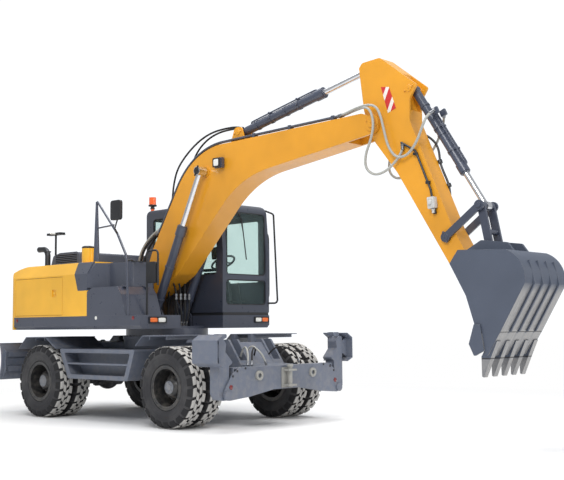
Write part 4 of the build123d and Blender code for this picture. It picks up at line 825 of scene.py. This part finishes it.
plates = Form()
for near, far in ((-0.0035, 0.0), (0.260, 0.2635)):
    plates.prism([(4.150, 4.134), (4.267, 4.114), (4.363, 3.846), (4.246, 3.804)], "y", ARM_SIDE + near,
                 ARM_SIDE + far, 0.001)
plates.piece("hazard_plates", "arm_body", hazard_stripes)


def lens_panel(form, axis, plane, out, low, high, depth):
    """A slightly domed lens that fills a rectangle."""
    place = PLACE_ALONG[axis]
    mu, mv = (low[0] + high[0]) / 2, (low[1] + high[1]) / 2
    rings = []
    for share, height in ((1.0, -0.003), (1.0, 0.0), (0.97, depth * 0.45), (0.86, depth * 0.8), (0.55, depth)):
        ring = []
        for c, s in circle(28):
            bend = 1 / max(abs(c), abs(s)) ** 0.75
            ring.append(place(mu + (high[0] - mu) * share * c * bend, mv + (high[1] - mv) * share * s * bend,
                              plane + out * height))
        rings.append(ring)
    return form.skin(rings + [[place(mu, mv, plane + out * depth)]])


bezel = Form().frame("y", -0.4115, 0.012, (1.402, 3.462), (1.528, 3.588), 0.014, 0.02)
for x, z in ((1.404, 3.464), (1.526, 3.586)):
    bezel.bolt((x, -0.4015, z), (0, -1, 0), 0.004)
bezel.piece("boom_lamp_bezel", "boom_body", black_plastic)
lens_panel(Form(), "y", -0.405, -1, (1.416, 3.476), (1.514, 3.574), 0.008).piece(
    "boom_lamp_lens", "boom_body", clear_lens)

bezels, whites, ambers = Form(), Form(), Form()
for low, high, outer in ((-1.105, -0.798, -1), (0.920, 1.227, 1)):
    middle = (low + high) / 2
    bezels.frame("x", 0.903, 0.010, (low + 0.004, 1.352), (high - 0.004, 1.436), 0.010, 0.014)
    bezels.box((0.903, 0.911), (middle - 0.005, middle + 0.005), (1.360, 1.428), 0.001)
    halves = [(low + 0.016, middle - 0.007), (middle + 0.007, high - 0.016)][::-outer]
    for lenses, (near, far) in zip((ambers, whites), halves):
        lens_panel(lenses, "x", 0.9035, 1, (near, 1.363), (far, 1.425), 0.007)
bezels.piece("front_lamp_bezels", "upper", black_plastic)
whites.piece("front_lamp_lenses", "upper", clear_lens)
ambers.piece("front_signal_lenses", "upper", signal_lens)

reds, pales = Form(), Form()
for side in SIDES:
    for x, z in ((-2.011, 1.41), (0.746, 1.422)):
        reds.button((x, side * 1.2505, z), (0, side, 0), 0.026, 0.004)
    pales.button((-0.057, side * 1.2505, 1.431), (0, side, 0), 0.024, 0.004)
reds.piece("platform_reflectors", "upper", red_lens)
pales.piece("platform_side_markers", "upper", clear_lens)
reds = Form()
for y in (-1.015, 1.005):
    reds.button((2.351, y, 0.55), (1, 0, 0), 0.03, 0.005)
reds.piece("beam_reflectors", "carrier", red_lens)

# Bolts in rings and rows

round_of.piece("slew_ring_bolts", "carrier", Form().bolt((0, 0, 0), UP, 0.012), dark_steel, Count=40,
               Radius=0.622, Place=at(0, 0, 1.170))
row_of.piece("blade_edge_bolts", "dozer_blade", Form().bolt((0, 0, 0), (-1, 0, 0), 0.014), dark_steel, Count=9,
             Step=(0.0, 0.29, 0.0), Place=at(-2.489, -1.16, 0.60))
# Windows and cab

gaskets = Form()
for axis, plane, low, high in (("x", 0.851, (0.355, 2.050), (1.192, 2.980)),
                               ("x", 0.851, (0.355, 1.610), (1.192, 1.980)),
                               ("y", 0.293, (-0.660, 2.050), (0.760, 2.960)),
                               ("x", -0.807, (0.375, 2.250), (1.172, 2.960)),
                               ("y", 1.242, (-0.690, 2.100), (-0.160, 2.960))):
    gaskets.frame(axis, plane, 0.012, low, high, 0.015, 0.06)
gaskets.piece("window_gaskets", "upper", black_plastic)
Form().frame("y", 1.242, 0.012, (-0.020, 1.950), (0.700, 2.910), 0.015, 0.06).piece(
    "door_gasket", "door_cab", black_plastic)

wiper = Form().turned([(0, 0.024), (0.016, 0.022), (0.020, 0.014), (0.020, 0)], (0.857, 0.640, 2.950), (1, 0, 0), 20)
wiper.tube([(0.874, 0.640, 2.950), (0.876, 0.665, 2.86), (0.874, 0.735, 2.60)], [0.007, 0.006, 0.004], 10)
wiper.prism([(0.690, 2.885), (0.704, 2.887), (0.800, 2.282), (0.786, 2.280)], "x", 0.857, 0.868, 0.002)
wiper.piece("window_wiper", "upper", black_plastic)

levers = Form()
for side in SIDES:
    y = CAB_MIDDLE + side * 0.31
    levers.turned([(0, 0.045), (0.012, 0.045), (0.018, 0.036), (0.026, 0.040), (0.034, 0.030), (0.042, 0.034),
                   (0.052, 0.024), (0.062, 0.014)], (0.02, y, 2.141), UP, 20)
    levers.tube([(0.02, y, 2.19), (0.03, y, 2.26), (0.045, y, 2.30)], [0.011, 0.011, 0.014], 12)
    levers.turned([(0, 0.016), (0.02, 0.023), (0.06, 0.026), (0.095, 0.024), (0.115, 0.012), (0.118, 0)],
                  (0.045, y, 2.295), (0.15, 0, 1), 18)
    levers.box((-0.36, -0.02), (y - 0.042, y + 0.042), (2.160, 2.205), 0.016)
    y = CAB_MIDDLE + side * 0.09
    levers.box((0.60, 0.72), (y - 0.04, y + 0.04), (1.66, 1.672), 0.004)
    levers.rod((0.66, y, 1.665), (0.62, y, 1.95), 0.009, 10)
    levers.rod((0.66, y, 1.665), (0.68, y, 1.565), 0.012, 10)
levers.piece("control_levers", "upper", black_plastic)

screen = Form().prism([(0.55, 2.28), (0.72, 2.30), (0.70, 2.47), (0.53, 2.45)], "y", CAB_MIDDLE - 0.390,
                      CAB_MIDDLE - 0.340, 0.008)
screen.rod((0.62, CAB_MIDDLE - 0.365, 2.28), (0.62, CAB_MIDDLE - 0.365, 2.10), 0.012, 12)
screen.piece("cab_screen", "upper", trim_plastic)

# Seat

CLOTH_FRAMES = 20
CLOTH_PRESSURE = 4.0
VOXEL = 0.006


def cushion(name, form, cap):
    """Swells a form as foam does under its cover, by at most the cap, with Blender's cloth, and rounds it."""
    made = form.plain(name, 60.0)

    def apply():
        mesh = settled(made)
        made.modifiers.clear()
        made.data = mesh

    skin = made.modifiers.new("skin", "REMESH")
    skin.mode = "VOXEL"
    skin.voxel_size = VOXEL
    apply()
    before = [vertex.co.copy() for vertex in made.data.vertices]
    cover = made.modifiers.new("cover", "CLOTH")
    cover.settings.use_pressure = True
    cover.settings.uniform_pressure_force = CLOTH_PRESSURE
    cover.settings.effector_weights.gravity = 0.0
    for step in range(1, CLOTH_FRAMES + 1):
        scene.frame_set(step)
    apply()
    scene.frame_set(1)
    for vertex, start in zip(made.data.vertices, before):
        move = vertex.co - start
        if move.length > cap:
            vertex.co = start + move * (cap / move.length)
    rounder = made.modifiers.new("rounder", "SUBSURF")
    rounder.levels = rounder.render_levels = 1
    apply()
    made.data.shade_smooth()
    made.data.transform(Matrix.Translation((SLEW_AXIS_X, 0, 0)))
    made.data.materials.append(seat_cloth)
    carried(made, "upper", seat_cloth)


# Each cushion's cap, its middle's profile, half width and bevel, then its bolsters' profile and reach
for name, cap, profile, half, bevel, bolster, near, far in (
        ("seat_cushion", 0.012, [(-0.405, 1.985), (0.045, 1.985), (0.045, 2.045), (-0.405, 2.045)], 0.155, 0.015,
         [(-0.400, 1.985), (0.030, 1.985), (0.020, 2.062), (-0.400, 2.062)], 0.145, 0.222),
        ("seat_backrest", 0.012, [(-0.435, 2.080), (-0.375, 2.085), (-0.475, 2.575), (-0.535, 2.560)], 0.150, 0.015,
         [(-0.430, 2.085), (-0.350, 2.095), (-0.445, 2.540), (-0.530, 2.520)], 0.140, 0.210),
        ("seat_headrest", 0.008, [(-0.545, 2.615), (-0.480, 2.620), (-0.500, 2.710), (-0.560, 2.700)], 0.11, 0.02,
         None, 0, 0)):
    pad = Form().prism(profile, "y", CAB_MIDDLE - half, CAB_MIDDLE + half, bevel)
    for side in SIDES if bolster else ():
        inner, outer = sorted((side * near, side * far))
        pad.prism(bolster, "y", CAB_MIDDLE + inner, CAB_MIDDLE + outer, 0.02)
    cushion(name, pad, cap)
shell, seam = Form(), Form()
shell.prism([(-0.41, 1.962), (0.05, 1.962), (0.05, 1.982), (-0.39, 1.982), (-0.46, 2.06), (-0.555, 2.56),
             (-0.57, 2.555), (-0.475, 2.04)], "y", CAB_MIDDLE - 0.215, CAB_MIDDLE + 0.215, 0.004)
for side in SIDES:
    y = CAB_MIDDLE + side * 0.05
    shell.rod((-0.55, y, 2.53), (-0.535, y, 2.66), 0.006, 10)
    y = CAB_MIDDLE + side * 0.148
    seam.tube([(-0.39, y, 2.052), (-0.2, y, 2.056), (0.04, y, 2.048)], 0.003, 8)
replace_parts(shell.piece("seat_shell", "upper", trim_plastic), "seat")
seam.piece("seat_piping", "upper", trim_plastic)

# Mirrors, with the moulded round corners that their solid blocks stand for

CORNER_RADIUS, RIM_RADIUS = 0.038, 0.009


def right_angled(edge):
    """Whether two sides meet at a right angle in an edge."""
    return len(edge.link_faces) == 2 and abs(edge.calc_face_angle(0.0) - math.pi / 2) < 0.05


def areas(edge):
    return [face.calc_area() for face in edge.link_faces]


def through_block(edge):
    """Whether an edge runs through the thickness of a block, with a long side next to it."""
    return (0.02 < edge.calc_length() < 0.06 and min(areas(edge)) > 0.0008
            and max(other.calc_length() for face in edge.link_faces for other in face.edges) > 0.1)


shells = Form()
shells.mesh.from_mesh(nodes["mirrors"].data)
bmesh.ops.remove_doubles(shells.mesh, verts=shells.mesh.verts, dist=0.00002)
bmesh.ops.dissolve_limit(shells.mesh, angle_limit=0.01, verts=shells.mesh.verts, edges=shells.mesh.edges)
corners = [edge for edge in shells.mesh.edges if right_angled(edge) and through_block(edge)]
shells.bevel(corners, CORNER_RADIUS, 6, 0.5)
rims = [edge for edge in shells.mesh.edges if right_angled(edge) and max(areas(edge)) > 0.02]
shells.bevel(rims, RIM_RADIUS, 3, 0.5)
mirror_shells = shells.plain("mirror_shells", 35.0)
mirror_shells.data.materials.append(black_plastic)
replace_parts(carried(mirror_shells, "upper", black_plastic), "mirrors")

# Roof, house and tank

Form().turned([(2.441, 0.093), (2.449, 0.097), (2.462, 0.095), (2.474, 0.074), (2.4745, 0)],
              (-0.575, -1.0, 0), UP, 36).piece("precleaner_cap", "upper", black_plastic)
trim = Form().turned([(0, 0.044), (0.012, 0.044), (0.012, 0.0405), (0.003, 0.0405), (0.003, 0.0)],
                     (-1.951, -0.9, 2.506), (-1, 0, 0), 28)
trim.turned([(2.455, 0.050), (2.463, 0.0505), (2.471, 0.050)], (-1.735, -0.9, 0.0), UP, 28, closed=True)
trim.piece("exhaust_trim", "upper", dark_steel)
cap = Form().turned([(2.206, 0.062), (2.212, 0.062), (2.216, 0.050), (2.246, 0.050), (2.252, 0.044), (2.252, 0)],
                    (0.10, -0.80, 0), UP, 28)
for c, s in circle(6):
    x, y = 0.10 + 0.05 * c, -0.80 + 0.05 * s
    cap.box((x - 0.006, x + 0.006), (y - 0.006, y + 0.006), (2.217, 2.245), 0.002)
cap.piece("tank_filler_cap", "upper", black_plastic)
works = Form()
for y in (-0.755, -0.585):
    lens_panel(works, "x", -1.809, 1, (y - 0.062, 2.744), (y + 0.062, 2.771), 0.005)
works.piece("work_lamp_lenses", "upper", clear_lens)
Form().turned([(3.139, 0.042), (3.146, 0.042), (3.150, 0.0305), (3.176, 0.0305), (3.180, 0.062), (3.188, 0.066),
               (3.200, 0.066), (3.206, 0.0562), (3.190, 0.0562), (3.184, 0.0290), (3.139, 0.0290)],
              (-0.750, 0.350, 0), UP, 28, closed=True).piece("beacon_base", "upper", black_plastic)
grips = Form()
for x in (-0.10, 0.11, 0.32):
    for dy in (0, 0.13):
        grips.box((x, x + 0.16), (-0.98 + dy, -0.90 + dy), (2.2055, 2.2095), 0.001)
grips.piece("tank_grip_strips", "upper", black_plastic)

# Studs in rows on the fender and the tool box

for name, body, finish, count, rows, gap, place in (
        ("fender_studs", "carrier", carrier_slate, 8, 4, 0.055, (1.00, -1.215, 1.190)),
        ("tool_box_studs", "upper", upper_slate, 9, 9, 0.05, (-0.06, -1.16, 1.8552))):
    stud = Form().turned([(0, 0.009), (0.003, 0.008), (0.0045, 0.005), (0.0045, 0)], (0, 0, 0), UP, 10)
    row_of.piece(name, body, stud, finish, Count=count, Step=(gap, 0.0, 0.0), Rows=rows,
                 Row_Step=(0.0, gap, 0.0), Place=at(*place))

# Bundle between the boom foot and the cab, with its unions
for number, y in enumerate((-0.139, -0.055, 0.029, 0.113)):
    foot, lean = number * 0.05, (number - 1.5) * 0.02
    far = y + lean * 2
    points = [(0.30, -0.05 + foot, 1.314), (0.34, -0.06 + foot, 1.40), (0.36, y, 1.55), (0.355, y, 1.72),
              (0.35, y, 1.80), (0.345, y + lean, 1.90), (0.315, far, 1.985), (0.23, far, 2.01), (0.15, far, 1.93),
              (0.11, far, 1.70), (0.10, y + lean, 1.314)]
    hose(f"bundle_hose_{number + 1}", "upper", points, 0.0135)
union = Form().turned([(0, 0.017), (0, 0.024), (0.030, 0.024), (0.032, 0.019), (0.048, 0.019), (0.050, 0.023),
                       (0.085, 0.023), (0.085, 0.015)], (0, 0, 0), UP, 6)
row_of.piece("bundle_unions", "upper", union, bright_steel, Count=4, Step=(0.0, 0.084, 0.0),
             Place=at(0.358, -0.139, 1.690))

# Over the bend of the boom to the arm cylinder
for number, y in enumerate((-0.255, 0.015)):
    points = [(0.392, y, 3.075), (0.405, y, 3.13), (0.43, y, 3.34), (0.51, y, 3.56), (0.65, y * 0.6 - 0.05, 3.76),
              (0.88, y * 0.4 - 0.072, 3.93), (1.15, y * 0.35 - 0.078, 4.02), (1.45, y * 0.35 - 0.078, 4.035),
              (1.66, y * 0.4 - 0.072, 4.02), (1.76, y * 0.4 - 0.072, 3.99)]
    hose(f"arm_cylinder_hose_{number + 1}", "boom_body", points, 0.0135)

# Pipes on the cylinders and the arm


def barrel_pipes(name, body, foot, pin, radius, start, end):
    """Two steel pipes with two clamps along the upper side of a barrel that lies in the work plane."""
    foot, pin = Vector((foot[0], WORK_Y, foot[1])), Vector((pin[0], WORK_Y, pin[1]))
    line = (pin - foot).normalized()
    up = Vector((-line.z, 0, line.x))
    form = Form()
    low, high = radius - 0.002, radius + 0.017
    for side in SIDES:
        out = Vector((0, side * 0.026, 0))
        form.tube(smooth_route([foot + line * along + up * height + out * share for along, height, share in (
            (start, low, 0.4), (start, high, 0.7), (start + 0.06, high, 1.0), (end - 0.06, high, 1.0),
            (end, high, 0.7), (end, low, 0.4))]), 0.010, 10)
    for share in (0.3, 0.72):
        middle = foot + line * (start + (end - start) * share)
        form.turned([(-0.016, radius - 0.001), (-0.016, radius + 0.007), (0.016, radius + 0.007),
                     (0.016, radius - 0.001)], middle, line, 32, closed=True)
        for side in SIDES:
            ear = middle + Vector((0, side * (radius + 0.012), 0))
            form.rod(ear - up * 0.022, ear + up * 0.022, 0.011, 12, 0.002)
            form.bolt(ear + up * 0.022, up, 0.007, False)
        block, reach = middle + up * (radius + 0.014), Vector((0, 0.048, 0))
        form.rod(block - reach, block + reach, 0.019, 6, 0.002)
    form.piece(name, body, cylinder_slate, 50.0)


barrel_pipes("bucket_cylinder_pipes", "bucket_barrel", (4.548, 4.052), (5.458, 2.595), 0.052, 0.36, 1.16)
barrel_pipes("arm_cylinder_pipes", "arm_barrel", (1.700, 3.935), (3.905, 4.420), 0.060, 0.20, 1.40)

pipe = Form().tube(smooth_route([
    (4.60, 0.030, 3.52), (4.70, 0.034, 3.45), (4.76, 0.036, 3.33), (4.77, 0.034, 3.20), (4.80, 0.034, 3.10),
    (4.875, 0.034, 2.94), (4.90, 0.034, 2.83), (4.905, 0.030, 2.68)]), 0.014, 12)
for x, z in ((4.772, 3.19), (4.885, 2.90)):
    pipe.turned([(-0.020, 0.012), (-0.020, 0.030), (0.020, 0.030), (0.020, 0.012)], (x, 0.034, z), (0.35, 0, -1), 12)
pipe.piece("arm_left_line", "arm_body", dark_steel)

valve = Form().prism([(4.815, 2.735), (4.905, 2.740), (4.915, 2.610), (4.825, 2.600)], "y", -0.330, -0.2505, 0.010)
for x, z in ((4.842, 2.705), (4.888, 2.708), (4.848, 2.632), (4.893, 2.636)):
    valve.bolt((x, -0.330, z), (0, -1, 0), 0.007, False)
valve.turned([(0, 0.024), (0.022, 0.024), (0.026, 0.020), (0.026, 0)], (4.865, -0.330, 2.672), (0, -1, 0), 24)
valve.turned([(0, 0.022), (0.018, 0.022), (0.020, 0.018), (0.050, 0.018), (0.052, 0.010), (0.052, 0)],
             (4.873, -0.285, 2.603), (0.05, 0, -1), 20)
valve.piece("arm_stop_valve", "arm_body", cast_alloy)

# Under the cab

seal = [[(x, y, z) for x, y in ((-0.805 + t, 0.297 + t), (0.873 - t, 0.297 + t), (0.873 - t, 1.248 - t),
                                (-0.805 + t, 1.248 - t))]
        for t, z in ((0.0, 1.4605), (0.0, 1.4995), (0.02, 1.4995), (0.02, 1.4605))]
Form().skin(seal, closed=True).piece("cab_seal", "upper", black_plastic)

# Stabilisers and steering, in front of the axle
for number, points in enumerate((
        [(1.80, -0.30, 0.86), (1.86, -0.32, 0.98), (1.95, -0.36, 1.035), (2.05, -0.42, 1.00), (2.12, -0.47, 0.90),
         (2.138, -0.50, 0.80)],
        [(1.80, -0.20, 0.86), (1.87, -0.22, 1.00), (1.96, -0.23, 1.045), (2.05, -0.22, 0.99), (2.12, -0.18, 0.90),
         (2.138, -0.15, 0.79)],
        [(1.80, -0.05, 0.86), (1.87, -0.08, 0.96), (1.95, -0.16, 1.02), (2.04, -0.30, 1.01), (2.11, -0.40, 0.92),
         (2.138, -0.42, 0.80)],
        [(1.80, 0.20, 0.86), (1.87, 0.24, 0.98), (1.96, 0.32, 1.03), (2.06, 0.42, 0.98), (2.12, 0.47, 0.90),
         (2.138, 0.50, 0.80)])):
    hose(f"front_hose_{number + 1}", "carrier", points, 0.0115, grey_sleeve if number < 2 else hose_rubber)

# Between and under the axles

bolts = Form()
for side in SIDES:
    for y, z in ((0.759, 0.775), (0.902, 0.745), (0.980, 0.684)):
        bolts.bolt((2.3505, side * y, z), (1, 0, 0), 0.011)
bolts.piece("beam_bolts", "carrier", dark_steel)


drive = Form().prism([(-0.26, 0.505), (0.24, 0.505), (0.28, 0.56), (0.28, 0.62), (-0.30, 0.62), (-0.30, 0.56)], "y",
                     -0.13, 0.13, 0.012)
for side in SIDES:
    start, end = Vector((side * 0.27, 0, 0.565)), Vector((side * 1.19, 0, 0.535))
    line = (end - start).normalized()
    drive.turned([(0, 0.060), (0.014, 0.060), (0.014, 0.036), (0.050, 0.032), (0.055, 0.042), (0.085, 0.042),
                  (0.095, 0.035), (0.860, 0.035), (0.868, 0.042), (0.895, 0.042), (0.900, 0.036), (0.910, 0.060),
                  (0.922, 0.060)], start, line, 24)
    for c, s in circle(6):
        drive.bolt((start.x + line.x * 0.014, 0.05 * c, start.z + 0.05 * s), line, 0.006, False)
drive.piece("drive_line", "carrier", cast_dark)

# Cab door, entry rail and tail lamps

hinges = Form()
for z in (1.72, 2.30, 2.82):
    hinges.turned([(0, 0.012), (0.004, 0.015), (0.086, 0.015), (0.090, 0.012)], (-0.094, 1.262, z), UP, 16)
    hinges.box((-0.180, -0.106), (1.2625, 1.270), (z + 0.010, z + 0.080), 0.003)
    for x in (-0.165, -0.140):
        hinges.bolt((x, 1.270, z + 0.045), (0, 1, 0), 0.006, False)
hinges.piece("cab_door_hinges", "upper", black_plastic)
rail = smooth_route([(0.835, 1.264, 1.70), (0.838, 1.295, 1.72), (0.840, 1.300, 1.85), (0.840, 1.300, 2.55),
                     (0.838, 1.295, 2.68), (0.835, 1.264, 2.70)])
Form().tube(rail, 0.012, 12).piece("cab_entry_rail", "upper", black_plastic)

frames, tails = Form(), Form()
for y in (-0.86, 0.86):
    frames.frame("x", -2.328, 0.012, (y - 0.075, 1.575), (y + 0.075, 1.645), 0.010, 0.012)
    lens_panel(tails, "x", -2.3205, -1, (y - 0.062, 1.588), (y + 0.062, 1.632), 0.005)
frames.piece("tail_lamp_bezels", "upper", black_plastic)
tails.piece("tail_lamp_lenses", "upper", red_lens)

# Camera, light and floor

CAMERA_PLACE = (9.226, -9.625, 1.3035)
CAMERA_YAW, CAMERA_PITCH, CAMERA_ROLL = -0.73746, 0.08662, -0.00965
FOCAL_PIXELS = 984.336
IMAGE_WIDTH = 564
SKY_LIGHT, SKY_SEEN = 0.55, 1.1
FLOOR_FADE = (4.5, 9.0)

ahead = Vector((math.sin(CAMERA_YAW) * math.cos(CAMERA_PITCH), math.cos(CAMERA_YAW) * math.cos(CAMERA_PITCH),
                math.sin(CAMERA_PITCH)))
level = ahead.cross(Vector(UP)).normalized()
upright = level.cross(ahead)
right = level * math.cos(CAMERA_ROLL) + upright * math.sin(CAMERA_ROLL)
up = upright * math.cos(CAMERA_ROLL) - level * math.sin(CAMERA_ROLL)
optics = bpy.data.cameras.new("camera")
optics.sensor_width = 36.0
optics.lens = FOCAL_PIXELS / IMAGE_WIDTH * optics.sensor_width
optics.clip_end = 200.0
camera = linked("camera", optics)
camera.matrix_world = Matrix.Translation(CAMERA_PLACE) @ Matrix((right, up, -ahead)).transposed().to_4x4()
scene.camera = camera

for name, place, aim, size, power in (
        ("key", (6.0, -9.0, 9.0), (0.0, 0.0, 1.5), 5.0, 640.0),
        ("fill", (11.0, 3.0, 5.0), (0.0, 0.0, 1.5), 6.0, 260.0),
        ("top", (0.0, 0.0, 10.0), (0.0, 0.0, 0.0), 9.0, 800.0),
        ("rear", (-9.0, 6.0, 7.0), (0.0, 0.0, 1.5), 6.0, 240.0)):
    lamp = bpy.data.lights.new(name, "AREA")
    lamp.shape = "DISK"
    lamp.size = size
    lamp.energy = power
    light = linked(name, lamp)
    light.location = place
    light.rotation_mode = "QUATERNION"
    light.rotation_quaternion = (Vector(aim) - Vector(place)).to_track_quat("-Z", "Y")

scene.world = bpy.data.worlds.new("studio")
scene.world.use_nodes = True
sky = scene.world.node_tree
background = sky.nodes["Background"]
background.inputs["Color"].default_value = (0.95, 0.97, 1.0, 1.0)
strength = sky.nodes.new("ShaderNodeMapRange")
sky.links.new(sky.nodes.new("ShaderNodeLightPath").outputs["Is Camera Ray"], strength.inputs["Value"])
strength.inputs["To Min"].default_value = SKY_LIGHT
strength.inputs["To Max"].default_value = SKY_SEEN
sky.links.new(strength.outputs[0], background.inputs["Strength"])

# A large pale floor that fades to white away from the machine
bpy.ops.mesh.primitive_plane_add(size=120.0)
floor = bpy.context.object
floor.name = "floor"
pale = Finish("pale_floor")
far = pale.node("ShaderNodeVectorMath", {"operation": "LENGTH"}, {0: pale.here}, "Value")
white = pale.node("ShaderNodeEmission", inputs={"Color": (1.0, 1.0, 1.0, 1.0), "Strength": 1.0})
direct = pale.node("ShaderNodeLightPath", output="Is Camera Ray")
pale.set(Base_Color=(0.93, 0.93, 0.93, 1.0), Roughness=0.9, Specular_IOR_Level=0.1)
floor.data.materials.append(pale.show(far.rise(*FLOOR_FADE) * direct, pale.own, white))
scene.view_settings.view_transform = "Standard"
